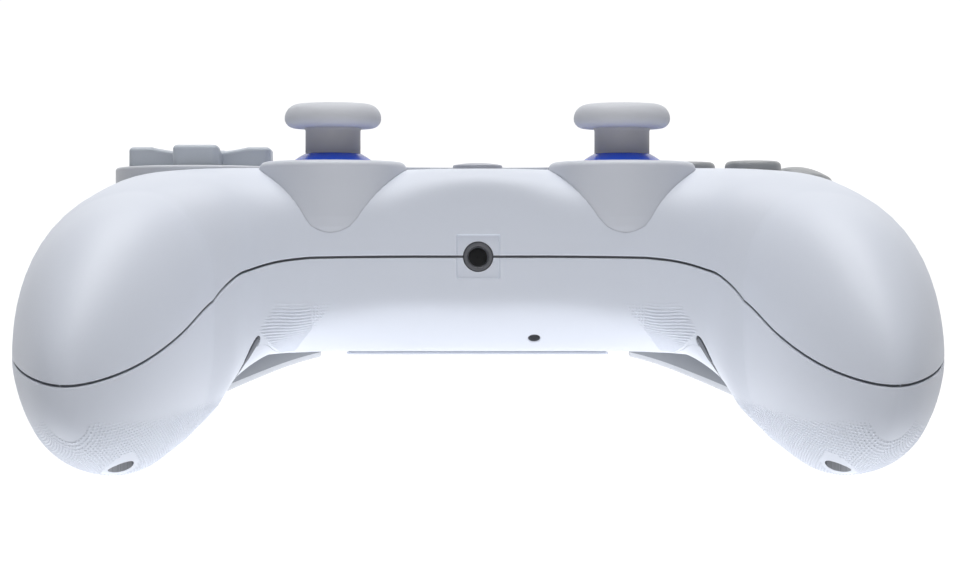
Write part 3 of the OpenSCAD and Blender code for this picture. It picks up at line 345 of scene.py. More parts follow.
def axes_frame(origin, u, v, w):
    """Frame from an origin and three directions."""
    turn = Matrix((Vector(u), Vector(v), Vector(w))).transposed()
    return Matrix.Translation(origin) @ turn.to_4x4()


def mirrored(matrix, side):
    """The same frame on the other side of the controller."""
    return Matrix.Diagonal((side, 1, 1, 1)) @ matrix


def trigger_frame():
    """Frame of the right trigger, first axis along its pin."""
    turn = turn_about("Z", -TRIGGER_YAW, 4) @ turn_about("Y", TRIGGER_ROLL, 4)
    return Matrix.Translation(TRIGGER_AT) @ turn


def apply_frame(matrix, points):
    """Points of a frame as points of the level controller."""
    grid = np.asarray(points, float)
    m = np.array(matrix)
    return grid @ m[:3, :3].T + m[:3, 3]


# Housing form, a loft of upright sections that fans round each shoulder. Each row gives one value of the
# section at ten places, from the mid line to the end of a grip.
FAN_X, FAN_Y = 30.0, 34.0
SEAM_NEAR = 16.6
CLOSE_START = 8.0
CHAMFER_BEND = 1.2
# tongue along the seam, with its play at the end and at the side
TONGUE, TONGUE_END_PLAY, TONGUE_SIDE_PLAY = 1.6, 0.2, 0.15
# start of the rays that look for the skin, above a frame's origin
RAY_START = 60
# angles of the fan with a section of their own
FAN_KEYS = (20.0, 40.0, 58.0)
# steps of the inner and outer wall, drops of the seam, height of the crown, and rises of the underside
INNER_STEP = (0, 0, 0, -1, -1.7, -2, -0.2, 1.7, 3.1, 4.9)
OUTER_STEP = (0, 0, 0, -3, -7.9, -13.9, -19.5, -23.8, -27.7, -31.1)
INNER_SEAM = (0, 0, 0.2, 0.9, 2.2, 3.7, 7.9, 13.5, 18.3, 22.3)
OUTER_SEAM = (0.4, 0.4, 0.4, 1.9, 6.4, 11.9, 16.2, 17.8, 19.8, 21.2)
CROWN = (-0.35, -0.25, 0, 0, -0.6, -2.1, -5.3, -9.2, -14.4, -20.1)
UNDER_NEAR = (-7, -7, -4.2, 0.8, 6.3, 11.9, 17, 21, 23.9, 26.2)
UNDER_FAR = (0, 0, 0.1, 1.1, 5, 9.4, 13.9, 17.7, 21, 23.8)
# places of the crown and the keel, as shares of the section's width
CROWN_PLACE = (0.5, 0.5, 0.5, 0.46, 0.41, 0.35, 0.37, 0.39, 0.42, 0.45)
KEEL_PLACE = (0.5, 0.5, 0.5, 0.4, 0.35, 0.28, 0.3, 0.34, 0.41, 0.44)
# squareness of the four quarters of a section, 2 for an ellipse
TOP_IN = (8, 3.9, 3.4, 3, 2.7, 2.4, 2.2, 2.1, 2, 2)
TOP_OUT = (4, 4, 4, 3.5, 2.85, 2.3, 2.1, 2, 2, 2)
LOW_IN = (9, 9, 7.5, 4.9, 3.6, 3.1, 2.7, 2.4, 2.2, 2)
LOW_OUT = (6, 6, 6, 5, 3.7, 2.7, 2.1, 1.9, 2.1, 2)
# width of the near chamfer, as a share of the section
CHAMFER = (0.19, 0.19, 0.21, 0.35, 0.6, 1, 1, 1, 1, 1)
Section = namedtuple("Section", (
    "inner", "outer", "inner_seam", "outer_seam", "crown", "under_near", "under_far", "crown_place",
    "keel_place", "top_in", "top_out", "low_in", "low_out", "chamfer"))


class Housing:
    """The loft that both shells and every button in their skin follow."""

    def __init__(self, sizes):
        self.wall = mm(sizes.wall)
        self.seam = mm(sizes.seam_gap)
        self.edge = mm(sizes.edge)
        self.grip = mm(sizes.grip_length)
        self.front = mm(sizes.front_wall)
        self.far = mm(sizes.far_wall)
        self.height = mm(sizes.body_height)
        self.fan = 90.0 - math.degrees(sizes.grip_splay)
        self.grip_start = FAN_X + self.fan
        near, far = FAN_Y - self.front, FAN_Y + self.far
        ends = [self.grip_start + self.grip * t / 3 for t in range(4)]
        self.keys = np.array([0, FAN_X / 2, FAN_X, *(FAN_X + t for t in FAN_KEYS), *ends])
        self.form = np.array([
            np.add(near, INNER_STEP), np.add(far, OUTER_STEP),
            np.subtract(-SEAM_NEAR, INNER_SEAM), np.subtract(-SEAM_NEAR, OUTER_SEAM), CROWN,
            np.subtract(-self.height, UNDER_NEAR), np.subtract(-self.height, UNDER_FAR),
            CROWN_PLACE, KEEL_PLACE, TOP_IN, TOP_OUT, LOW_IN, LOW_OUT, CHAMFER])
        slopes = np.zeros_like(self.form)
        slopes[:, 1:-1] = (self.form[:, 2:] - self.form[:, :-2]) / (self.keys[2:] - self.keys[:-2])
        slopes[:, -1] = (self.form[:, -1] - self.form[:, -2]) / (self.keys[-1] - self.keys[-2])
        self.slopes = slopes
        self.skins = {upper: self.skin_tree(upper) for upper in (True, False)}

    def section(self, q):
        """The section at a place along the loft, smoothly between its key places."""
        i = int(np.clip(np.searchsorted(self.keys, q, "right") - 1, 0, len(self.keys) - 2))
        h = self.keys[i + 1] - self.keys[i]
        f = (q - self.keys[i]) / h
        start, end = self.form[:, i], self.form[:, i + 1]
        return Section(*(
            (2 * f**3 - 3 * f**2 + 1) * start + (f**3 - 2 * f**2 + f) * h * self.slopes[:, i]
            + (3 * f**2 - 2 * f**3) * end + (f**3 - f**2) * h * self.slopes[:, i + 1]))

    def edge_row(self, station, upper, inset, lift, angles):
        """Points of one half section on the right side, from the inner to the outer seam."""
        along, closing = station
        shrink = math.cos(math.radians(closing))
        q = along + (self.grip - CLOSE_START - inset) * math.sin(math.radians(closing))
        s = self.section(q)
        inner, outer = s.inner + inset, s.outer - inset
        peak = inner + (s.crown_place if upper else s.keel_place) * (outer - inner)
        a = np.asarray(angles, float)
        near = a <= 90
        b = np.radians(np.where(near, a, 180 - a))
        n = np.where(near, s.top_in, s.top_out) if upper else np.where(near, s.low_in, s.low_out)
        c = np.maximum(0, np.cos(b)) ** (2 / n)
        r = np.maximum(0, np.sin(b)) ** (2 / n)
        u = np.where(near, peak - (peak - inner) * c, peak + (outer - peak) * c)
        z_seam = np.where(near, s.inner_seam, s.outer_seam)
        t = (u - inner) / (outer - inner) / s.chamfer
        ramp = 1 - np.maximum(0, 1 - t) ** CHAMFER_BEND
        under = s.under_near + (s.under_far - s.under_near) * ramp
        z_end = s.crown - inset if upper else under + inset
        uc, zc = (s.inner + s.outer) / 2, (s.inner_seam + s.outer_seam) / 2
        u = uc + (u - uc) * shrink
        z = zc + (z_seam + (z_end - z_seam) * r - zc) * shrink + lift * (1 - r)
        if q <= FAN_X:
            return np.column_stack([np.full_like(u, q), u - FAN_Y, z])
        turn = math.radians(min(q - FAN_X, self.fan))
        run = max(0, q - self.grip_start)
        x = FAN_X + u * math.sin(turn) + run * math.cos(turn)
        y = -FAN_Y + u * math.cos(turn) - run * math.sin(turn)
        return np.column_stack([x, y, z])

    def stations(self):
        """Fine sections of the right half, as places along the loft and closing angles."""
        body = [(x, 0) for x in np.linspace(0, FAN_X, 13)[:-1]]
        turn = [(FAN_X + t, 0) for t in np.linspace(0, self.fan, 58)]
        grip = [(self.grip_start + s, 0) for s in np.linspace(0, CLOSE_START, 7)[1:]]
        close = [(self.grip_start + CLOSE_START, t) for t in (*np.arange(3, 87, 3), 86, 88, 89.3, 89.95)]
        return body + turn + grip + close

    @staticmethod
    def angles(steps=26):
        """Section angles, crowded at the seams and at the crown where the form is square."""
        t = np.linspace(0, 1, steps + 1)
        quarter = 90 * t**2 / (t**2 + (1 - t)**2)
        return np.concatenate([quarter, 180 - quarter[-2::-1]])

    def rows(self, make):
        """Rows from grip end to grip end, from the rows of the right half."""
        right = [make(station) for station in self.stations()]
        left = [row * (-1, 1, 1) for row in right[:0:-1]]
        return np.array(left + right)

    def skin_rows(self, upper):
        """Outer skin of one shell as a grid of points."""
        return self.rows(lambda station: self.edge_row(station, upper, 0, 0, self.angles()))

    def skin_tree(self, upper):
        """Search tree over the outer skin of one shell."""
        grid = self.skin_rows(upper)
        return BVHTree.FromPolygons(grid.reshape(-1, 3).tolist(), grid_faces(*grid.shape[:2]))

    def shell(self, upper):
        """Closed shell with a stepped rim and soft seam edges."""
        sign = 1 if upper else -1
        rim = sign * self.seam / 2
        soft = sign * (self.seam / 2 + self.edge)
        shelf = self.seam / 2 + (TONGUE if upper else TONGUE - TONGUE_END_PLAY)
        step = self.wall / 2 + (0 if upper else TONGUE_SIDE_PLAY)
        sweep = self.angles()

        def loop(station):
            row = lambda inset, lift, places: self.edge_row(station, upper, inset, lift, places)
            return np.concatenate([
                row(self.edge, rim, [0]), row(0, soft, sweep), row(self.edge, rim, [180]),
                row(step, rim, [180]), row(step, shelf, [180]),
                row(self.wall, shelf, sweep[::-1]), row(step, shelf, [0]), row(step, rim, [0])])

        grid = self.rows(loop)
        return grid.reshape(-1, 3), capped_faces(*grid.shape[:2])

    def skin_height(self, matrix, points, upper):
        """Height of the skin over points of a frame, along its third axis."""
        tree = self.skins[upper]
        axis = (matrix.to_3x3() @ Vector((0, 0, 1))).normalized()
        heights = []
        for u, v in points:
            base = matrix @ Vector((u, v, 0))
            hit = tree.ray_cast(base + axis * RAY_START, -axis)[0]
            if hit is None:
                hit = tree.find_nearest(base)[0]
            heights.append((hit - base).dot(axis))
        return np.array(heights)


# Mesh helpers
def grid_faces(rows, columns, wrap=False):
    """Quads of a grid of points, closed round each row where asked."""
    span = columns if wrap else columns - 1
    return [[i * columns + j, i * columns + (j + 1) % columns, (i + 1) * columns + (j + 1) % columns,
             (i + 1) * columns + j] for i in range(rows - 1) for j in range(span)]


def capped_faces(rows, around):
    """Faces of a skin through closed rows of points, capped at both ends."""
    faces = grid_faces(rows, around, wrap=True)
    faces.append(list(range(around)))
    faces.append(list(range((rows - 1) * around, rows * around)))
    return faces


def linked(name, data):
    """New object in the scene."""
    obj = bpy.data.objects.new(name, data)
    bpy.context.scene.collection.objects.link(obj)
    return obj


def turn_outwards(mesh):
    """Welds what lies together and turns the faces of a closed mesh outwards."""
    work = bmesh.new()
    work.from_mesh(mesh)
    bmesh.ops.remove_doubles(work, verts=work.verts, dist=WELD)
    bmesh.ops.recalc_face_normals(work, faces=work.faces)
    work.to_mesh(mesh)
    work.free()


def make_object(name, points, faces):
    """New object from level points, with its faces turned outwards."""
    mesh = bpy.data.meshes.new(name)
    mesh.from_pydata(np.asarray(points).tolist(), [], faces)
    turn_outwards(mesh)
    return linked(name, mesh)


def lofted(name, matrix, rings):
    """New object with a closed skin through rings of equal count, given in a frame."""
    points = apply_frame(matrix, np.concatenate(rings))
    return make_object(name, points, capped_faces(len(rings), len(rings[0])))


def plain_mesh(obj):
    """The object's evaluated mesh in place of its modifiers."""
    bpy.context.view_layer.update()
    evaluated = obj.evaluated_get(bpy.context.evaluated_depsgraph_get())
    made = bpy.data.meshes.new_from_object(evaluated)
    obj.modifiers.clear()
    old = obj.data
    obj.data = made
    bpy.data.meshes.remove(old)


def carve(obj, cutters):
    """Cuts the cutters out of an object and removes them."""
    for cutter in cutters:
        cut = obj.modifiers.new("cut", "BOOLEAN")
        cut.operation = "DIFFERENCE"
        cut.solver = "MANIFOLD"
        cut.object = cutter
    plain_mesh(obj)
    if not obj.data.polygons:
        raise RuntimeError(f"{obj.name} was lost in a cut")
    for cutter in cutters:
        bpy.data.objects.remove(cutter)


def settle(obj, body, slot, material, *nodes, smooth=35):
    """Sets a finished piece down in the resting frame and ties it to its body, finish and nodes."""
    obj.data.transform(LEVEL)
    obj.data.shade_smooth()
    obj.data.set_sharp_from_angle(angle=math.radians(smooth))
    obj.data.materials.clear()
    obj.data.materials.append(material)
    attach(obj, body)
    if nodes:
        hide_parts(*nodes)


def joined(name, parts):
    """One object from several, in level millimetres."""
    work = bmesh.new()
    for part in parts:
        work.from_mesh(part.data)
        bpy.data.objects.remove(part)
    mesh = bpy.data.meshes.new(name)
    work.to_mesh(mesh)
    work.free()
    return linked(name, mesh)


# Flat outlines, as rows of points round a centre
def filleted(corners, radii, step=0.5, turns=9):
    """Outline through corners, each rounded by its own radius, with points along straight runs."""
    corners = [np.array(c, float) for c in corners]
    run = []
    for i, corner in enumerate(corners):
        before, after = corners[i - 1] - corner, corners[(i + 1) % len(corners)] - corner
        before, after = before / np.linalg.norm(before), after / np.linalg.norm(after)
        half = math.acos(float(np.clip(before @ after, -1, 1))) / 2
        reach = radii[i] / math.tan(half)
        start, end = corner + before * reach, corner + after * reach
        middle = (before + after) / np.linalg.norm(before + after)
        centre = corner + middle * radii[i] / math.sin(half)
        first, last = start - centre, end - centre
        sweep = math.atan2(first[0] * last[1] - first[1] * last[0], first @ last)
        for t in np.linspace(0, sweep, turns):
            turn = np.array([[math.cos(t), -math.sin(t)], [math.sin(t), math.cos(t)]])
            run.append(centre + turn @ first)
    points = []
    for p, q in zip(run, run[1:] + run[:1]):
        pieces = max(1, int(np.linalg.norm(q - p) / step))
        points.extend(p + (q - p) * t / pieces for t in range(pieces))
    return np.array(points)


def rounded(width, depth, radius):
    """Rectangle with round corners."""
    x, y = width / 2, depth / 2
    return filleted([(-x, -y), (x, -y), (x, y), (-x, y)], [radius] * 4)


def cross_outline(span, arm, radius):
    """Cross with round tips and tight inner corners."""
    s, a = span / 2, arm / 2
    quarter = [((a, -s), radius), ((a, -a), CROSS_CORNER), ((s, -a), radius)]
    corners, radii = [], []
    for turn in range(4):
        c, k = round(math.cos(turn * math.pi / 2)), round(math.sin(turn * math.pi / 2))
        for (x, y), r in quarter:
            corners.append((x * c - y * k, x * k + y * c))
            radii.append(r)
    return filleted(corners, radii)


def circle(radius, count=96):
    """Round outline."""
    t = np.linspace(0, 2 * math.pi, count, endpoint=False)
    return np.column_stack([np.cos(t), np.sin(t)]) * radius


def edge_distance(points, outline):
    """Distance of each point from an outline."""
    a, b = outline, np.roll(outline, -1, axis=0)
    run = b - a
    offset = points[:, None] - a[None]
    t = np.clip((offset * run).sum(2) / (run**2).sum(1), 0, 1)
    return np.linalg.norm(offset - t[..., None] * run, axis=2).min(1)


def lifted(outline, height):
    """Ring of an outline at a height, or at one height for each point."""
    return np.column_stack([outline, np.broadcast_to(height, len(outline))])


def key_top(name, matrix, outline, top, soft, foot, rings=34, crowding=2.2):
    """Button with a soft edge: top gives the height over points of its frame, foot the lower end."""
    scale = 1 - np.linspace(0, 1, rings + 1)[:-1] ** crowding
    stack = [lifted(outline, foot(outline) if callable(foot) else foot)]
    for k in scale:
        ring = outline * k
        gap = np.minimum(edge_distance(ring, outline) if k < 1 else np.zeros(len(ring)), soft)
        drop = soft - np.sqrt(np.maximum(0, soft**2 - (soft - gap)**2))
        stack.append(lifted(ring, top(ring) - drop))
    return lofted(name, matrix, stack)


def window_cutter(matrix, outline, low, high, skin=None, edge=0.0, over=0.02):
    """Prism that cuts a window, flared to a soft edge where it meets the skin."""
    rings = [lifted(outline(0), low)]
    if skin is not None:
        rings.append(lifted(outline(0), skin(outline(0)) - edge))
        rings.append(lifted(outline(edge), skin(outline(edge)) + over))
    rings.append(lifted(outline(edge if skin is not None else 0), high))
    return lofted("cutter", matrix, rings)


def box_solid(matrix, low, high):
    """Plain box between two corners of a frame."""
    (x0, y0, z0), (x1, y1, z1) = low, high
    flat = np.array([(x0, y0), (x1, y0), (x1, y1), (x0, y1)], float)
    return lofted("box", matrix, [lifted(flat, z0), lifted(flat, z1)])


def arc(centre, radius, start, end, count=12):
    """Points of a profile along an arc, angles in degrees."""
    t = np.radians(np.linspace(start, end, count))
    return [(centre[0] + radius * math.cos(a), centre[1] + radius * math.sin(a)) for a in t]


# Node trees that shape what is turned or repeats
def new_tree(name, inputs):
    """Geometry node tree with a geometry input and output and named sizes."""
    tree = bpy.data.node_groups.new(name, "GeometryNodeTree")
    tree.interface.new_socket("Geometry", in_out="INPUT", socket_type="NodeSocketGeometry")
    for label, kind in inputs:
        tree.interface.new_socket(label, in_out="INPUT", socket_type=kind)
    tree.interface.new_socket("Geometry", in_out="OUTPUT", socket_type="NodeSocketGeometry")
    return tree, tree.nodes.new("NodeGroupInput"), tree.nodes.new("NodeGroupOutput")


def add_node(tree, kind, inputs=None, **settings):
    """New node with its settings, its inputs given as values or as sockets to link."""
    node = tree.nodes.new(kind)
    for key, value in settings.items():
        setattr(node, key, value)
    for key, value in (inputs or {}).items():
        socket = node.inputs[key]
        if isinstance(value, bpy.types.NodeSocket):
            tree.links.new(value, socket)
        else:
            socket.default_value = value
    return node


def math_node(tree, operation, *values):
    """Result of a math node."""
    return add_node(tree, "ShaderNodeMath", dict(enumerate(values)), operation=operation).outputs[0]


def close_tree(tree, geometry, given, output):
    """Ends a tree in real geometry with its material."""
    real = add_node(tree, "GeometryNodeRealizeInstances", {"Geometry": geometry})
    finish = add_node(tree, "GeometryNodeSetMaterial", {
        "Geometry": real.outputs[0], "Material": given["Material"]})
    tree.links.new(finish.outputs[0], output.inputs[0])


def turned_tree():
    """Turns a profile, drawn as a line of radius and height, about the upright axis."""
    tree, given, output = new_tree("Turned piece", [
        ("Samples", "NodeSocketInt"), ("Segments", "NodeSocketInt"), ("Material", "NodeSocketMaterial")])
    given = given.outputs
    profile = add_node(tree, "GeometryNodeMeshToCurve", {"Mesh": given["Geometry"]})
    columns = math_node(tree, "ADD", given["Segments"], 1.0)
    grid = add_node(tree, "GeometryNodeMeshGrid", {
        "Size X": 1.0, "Size Y": 1.0, "Vertices X": given["Samples"], "Vertices Y": columns})
    here = add_node(tree, "GeometryNodeInputPosition").outputs[0]
    place = add_node(tree, "ShaderNodeSeparateXYZ", {0: here})
    share = math_node(tree, "ADD", place.outputs["X"], 0.5)
    turn = math_node(tree, "MULTIPLY", math_node(tree, "ADD", place.outputs["Y"], 0.5), 2 * math.pi)
    sample = add_node(tree, "GeometryNodeSampleCurve", {
        "Curves": profile.outputs[0], "Factor": share}, mode="FACTOR")
    drawn = add_node(tree, "ShaderNodeSeparateXYZ", {0: sample.outputs["Position"]})
    x = math_node(tree, "MULTIPLY", drawn.outputs["X"], math_node(tree, "COSINE", turn))
    y = math_node(tree, "MULTIPLY", drawn.outputs["X"], math_node(tree, "SINE", turn))
    position = add_node(tree, "ShaderNodeCombineXYZ", {"X": x, "Y": y, "Z": drawn.outputs["Z"]})
    moved = add_node(tree, "GeometryNodeSetPosition", {
        "Geometry": grid.outputs["Mesh"], "Position": position.outputs[0]})
    welded = add_node(tree, "GeometryNodeMergeByDistance", {
        "Geometry": moved.outputs[0], "Distance": TURNED_WELD})
    close_tree(tree, welded.outputs[0], given, output)
    return tree


def stud_tree():
    """Puts a small pyramid on every point, along the point's own outward direction."""
    tree, given, output = new_tree("Grip studs", [
        ("Width", "NodeSocketFloat"), ("Height", "NodeSocketFloat"), ("Material", "NodeSocketMaterial")])
    given = given.outputs
    stud = add_node(tree, "GeometryNodeMeshCone", {
        "Vertices": 4, "Radius Top": 0.0, "Radius Bottom": given["Width"],
        "Depth": given["Height"]}, fill_type="NONE")
    outward = add_node(tree, "GeometryNodeInputNamedAttribute", {"Name": "outward"}, data_type="FLOAT_VECTOR")
    fade = add_node(tree, "GeometryNodeInputNamedAttribute", {"Name": "fade"}, data_type="FLOAT")
    aligned = add_node(tree, "FunctionNodeAlignRotationToVector", {"Vector": outward.outputs[0]}, axis="Z")
    scale = add_node(tree, "ShaderNodeCombineXYZ", {"X": 1.0, "Y": 1.0, "Z": fade.outputs[0]})
    placed = add_node(tree, "GeometryNodeInstanceOnPoints", {
        "Points": given["Geometry"], "Instance": stud.outputs["Mesh"], "Rotation": aligned.outputs[0],
        "Scale": scale.outputs[0]})
    close_tree(tree, placed.outputs[0], given, output)
    return tree


def screw_tree():
    """Cross-head screw on every point, head below the point and shank above it."""
    tree, given, output = new_tree("Housing screws", [
        ("Head", "NodeSocketFloat"), ("Thickness", "NodeSocketFloat"), ("Shank", "NodeSocketFloat"),
        ("Reach", "NodeSocketFloat"), ("Material", "NodeSocketMaterial")])
    given = given.outputs

    def moved(body, middle):
        offset = add_node(tree, "ShaderNodeCombineXYZ", {"Z": middle})
        return add_node(tree, "GeometryNodeTransform", {
            "Geometry": body.outputs["Mesh"], "Translation": offset.outputs[0]}).outputs[0]

    def barrel(radius, depth, share):
        body = add_node(tree, "GeometryNodeMeshCylinder", {"Vertices": 40, "Radius": radius, "Depth": depth})
        return moved(body, math_node(tree, "MULTIPLY", depth, share))

    head = barrel(given["Head"], given["Thickness"], -0.5)
    shank = barrel(given["Shank"], given["Reach"], 0.5)
    long, narrow, deep = SCREW_SLOT
    slots = []
    for size in ((long, narrow, deep), (narrow, long, deep)):
        bar = add_node(tree, "GeometryNodeMeshCube", {"Size": size})
        slots.append(moved(bar, math_node(tree, "MULTIPLY", given["Thickness"], -1.0)))
    cut = add_node(tree, "GeometryNodeMeshBoolean", {"Mesh 1": head}, operation="DIFFERENCE")
    for slot in slots:
        tree.links.new(slot, cut.inputs["Mesh 2"])
    whole = tree.nodes.new("GeometryNodeJoinGeometry")
    tree.links.new(cut.outputs["Mesh"], whole.inputs[0])
    tree.links.new(shank, whole.inputs[0])
    placed = add_node(tree, "GeometryNodeInstanceOnPoints", {
        "Points": given["Geometry"], "Instance": whole.outputs[0]})
    close_tree(tree, placed.outputs[0], given, output)
    return tree


TREES = {}


def shaped(name, builder, points, edges, inputs, attributes=()):
    """Object shaped by a node tree from its own points, as a plain mesh."""
    if builder not in TREES:
        TREES[builder] = builder()
    tree = TREES[builder]
    mesh = bpy.data.meshes.new(name)
    mesh.from_pydata(np.asarray(points, float).tolist(), edges, [])
    for label, kind, values in attributes:
        layer = mesh.attributes.new(label, kind, "POINT")
        field = "vector" if kind == "FLOAT_VECTOR" else "value"
        layer.data.foreach_set(field, np.asarray(values, np.float32).ravel())
    obj = linked(name, mesh)
    modifier = obj.modifiers.new(tree.name, "NODES")
    modifier.node_group = tree
    for item in tree.interface.items_tree:
        if item.in_out == "INPUT" and item.name in inputs:
            modifier[item.identifier] = inputs[item.name]
    plain_mesh(obj)
    if not obj.data.polygons:
        raise RuntimeError(f"{name} has no faces")
    return obj


def turned(name, profile, at, material, segments, samples=220):
    """Piece turned from a closed profile of radius and height, standing in a frame."""
    line = [(r, 0.0, z) for r, z in profile]
    edges = [(i, (i + 1) % len(line)) for i in range(len(line))]
    obj = shaped(name, turned_tree, line, edges, {
        "Samples": samples, "Segments": segments, "Material": material})
    turn_outwards(obj.data)
    obj.data.transform(at)
    return obj


# Finishes
def grain_group():
    """Broad and fine unevenness of a moulded surface, as masks from 0 to 1."""
    group = bpy.data.node_groups.new("Moulded grain", "ShaderNodeTree")
    for label in ("Broad scale", "Fine scale"):
        group.interface.new_socket(label, in_out="INPUT", socket_type="NodeSocketFloat")
    for label in ("Broad", "Fine"):
        group.interface.new_socket(label, in_out="OUTPUT", socket_type="NodeSocketFloat")
    given, output = group.nodes.new("NodeGroupInput"), group.nodes.new("NodeGroupOutput")
    place = add_node(group, "ShaderNodeTexCoord").outputs["Object"]
    broad = add_node(group, "ShaderNodeTexNoise", {
        "Vector": place, "Scale": given.outputs["Broad scale"], "Detail": 3.0, "Roughness": 0.55})
    fine = add_node(group, "ShaderNodeTexNoise", {
        "Vector": place, "Scale": given.outputs["Fine scale"], "Detail": 2.0, "Roughness": 0.6})
    group.links.new(broad.outputs["Fac"], output.inputs["Broad"])
    group.links.new(fine.outputs["Fac"], output.inputs["Fine"])
    return group


def shade_of(value, factor):
    """A colour made lighter or darker."""
    return [min(1.0, c * factor) for c in value[:3]] + [1.0]


def moulded(name, tint, rough=0.42, spread=0.06, grain=2600.0, bump=0.05, mottle=0.03, metal=0.0, coat=0.0):
    """Material with moulded grain: slight mottling, uneven gloss, a fine raised texture, and painted shade where
    the hollow face mask marks seams and holes.
    """
    material = bpy.data.materials.new(name)
    material.use_nodes = True
    tree = material.node_tree
    shader = tree.nodes["Principled BSDF"]
    group = bpy.data.node_groups.get("Moulded grain") or grain_group()
    masks = add_node(tree, "ShaderNodeGroup", {
        "Broad scale": BROAD_GRAIN, "Fine scale": grain}, node_tree=group).outputs
    mix = add_node(tree, "ShaderNodeMix", {
        "Factor": masks["Broad"], 6: shade_of(tint, 1 - mottle), 7: shade_of(tint, 1 + mottle)},
        data_type="RGBA")
    # painted shade: faces that the mask marks by their depth below the skin are darkened towards a share of the
    # tint
    hollow = add_node(tree, "ShaderNodeAttribute", attribute_name="hollow")
    deep = add_node(tree, "ShaderNodeMix", {
        "Factor": hollow.outputs["Fac"], 6: mix.outputs[2], 7: shade_of(tint, PAINTED_SHADE_TINT)},
        data_type="RGBA")
    gloss = add_node(tree, "ShaderNodeMapRange", {
        "Value": masks["Fine"], "To Min": rough - spread, "To Max": rough + spread})
    relief = add_node(tree, "ShaderNodeBump", {
        "Height": masks["Fine"], "Strength": bump, "Distance": RELIEF_DEPTH})
    for socket, made in (("Base Color", deep.outputs[2]), ("Roughness", gloss.outputs[0]),
                         ("Normal", relief.outputs[0])):
        tree.links.new(made, shader.inputs[socket])
    for socket, value in (("Metallic", metal), ("Coat Weight", coat), ("Coat Roughness", COAT_ROUGH)):
        shader.inputs[socket].default_value = value
    return material


# Made once: the finishes by name, and the housing loft
FINISHES = {}
HOUSING = []


def finishes(colours):
    """Every finish of the controller by name, made once."""
    if not FINISHES:
        # colour, roughness and its spread, scale of the grain, its relief and its mottling
        FINISHES.update({
            "shell": moulded("Housing plastic", colours.shell, 0.46, 0.05, 3200, 0.04, 0.012),
            "touch": moulded("Touch surface", colours.touch, 0.5, 0.06, 5200, 0.12, 0.012),
            "collar": moulded("Collar plastic", colours.collar, 0.42, 0.05, 3200, 0.03, 0.012),
            "cap": moulded("Soft cap", colours.cap, 0.58, 0.08, 4200, 0.12, 0.03),
            "stem": moulded("Stem plastic", colours.stem, 0.5, 0.06, 3000, 0.06, 0.03),
            "skirt": moulded("Blue gloss", colours.skirt, 0.24, 0.03, 900, 0.01, 0.05, coat=0.2),
            "cross": moulded("Cross plastic", colours.cross, 0.45, 0.06, 3600, 0.07, 0.025),
            "pad_plate": moulded("Plate plastic", colours.plate, 0.42, 0.05, 3200, 0.04, 0.02),
            "button": moulded("Button plastic", colours.button, 0.34, 0.05, 3000, 0.03, 0.02),
            "small_button": moulded("Small button plastic", colours.small, 0.42, 0.05, 3000, 0.05, 0.02),
            "trigger": moulded("Trigger plastic", colours.trigger, 0.46, 0.06, 3400, 0.08, 0.025),
            # painted shade on the back of each trigger
            "painted_shade_sheet": moulded("Trigger lining", colours.painted_shade_sheet, 0.5, 0.06, 3400, 0.08, 0.03),
            # painted shade on the leaf by each back button
            "back": moulded("Back leaf painted shade", colours.back, 0.5, 0.06, 3400, 0.08, 0.03),
            "jack": moulded("Jack plastic", colours.jack, 0.4, 0.06, 2600, 0.05, 0.05),
            "light": moulded("Light guide", (0.9, 0.93, 0.97), 0.3, 0.04, 1800, 0.03, 0.02, coat=0.3),
            "port_metal": moulded("Socket steel", (0.6, 0.61, 0.63), 0.3, 0.06, 2400, 0.04, 0.06, metal=1.0),
            "screw": moulded("Screw steel", (0.32, 0.33, 0.35), 0.36, 0.08, 2000, 0.08, 0.1, metal=1.0),
            "board": moulded("Board lacquer", (0.02, 0.11, 0.05), 0.35, 0.08, 900, 0.06, 0.2),
            "inner_plastic": moulded("Inner plastic", (0.05, 0.05, 0.055), 0.5, 0.08, 1800, 0.06, 0.1),
            "cell": moulded("Battery wrap", (0.09, 0.13, 0.24), 0.3, 0.05, 700, 0.05, 0.08),
            "membrane": moulded("Silicone", (0.03, 0.03, 0.035), 0.62, 0.06, 1500, 0.05, 0.1),
            "motor": moulded("Motor can", (0.55, 0.56, 0.58), 0.34, 0.08, 1400, 0.05, 0.06, metal=1.0),
            "steel": moulded("Pin steel", (0.62, 0.63, 0.65), 0.24, 0.06, 2200, 0.03, 0.05, metal=1.0),
            "lever_plastic": moulded("Lever plastic", (0.24, 0.24, 0.26), 0.45, 0.06, 2000, 0.05, 0.06),
            "reset": moulded("Plunger plastic", (0.1, 0.105, 0.115), 0.45, 0.06, 2600, 0.05, 0.06),
            "weight": moulded("Sintered weight", (0.36, 0.29, 0.16), 0.5, 0.1, 1600, 0.2, 0.12, metal=1.0),
        })
    return FINISHES


def housing_form(context):
    """The housing loft, worked out once."""
    if not HOUSING:
        HOUSING.append(Housing(context.scene.controller_housing))
    return HOUSING[0]


def settings(context):
    """Housing form, control sizes and finishes of the scene."""
    scene = context.scene
    return housing_form(context), scene.controller_controls, finishes(scene.controller_colours)


# Frames of the buttons that lie in the skin
def shoulder_frame(side):
    """Third axis out of the far wall, at the middle of a shoulder button."""
    local = trigger_frame()
    rise = TRIGGER_REACH * math.sin(math.radians(TRIGGER_TOP)) + SHOULDER_RISE
    along, away, up = local.to_3x3().transposed()
    return mirrored(axes_frame(local @ Vector((0, 0, rise)), along, up, away), side)


def back_frame(side):
    """Third axis out of the inner flank, at the middle of a back button."""
    lean, roll = BACK_TURN
    turn = turn_about("Y", roll) @ turn_about("X", lean)
    return mirrored(turned_under(BACK_AT, turn), side)


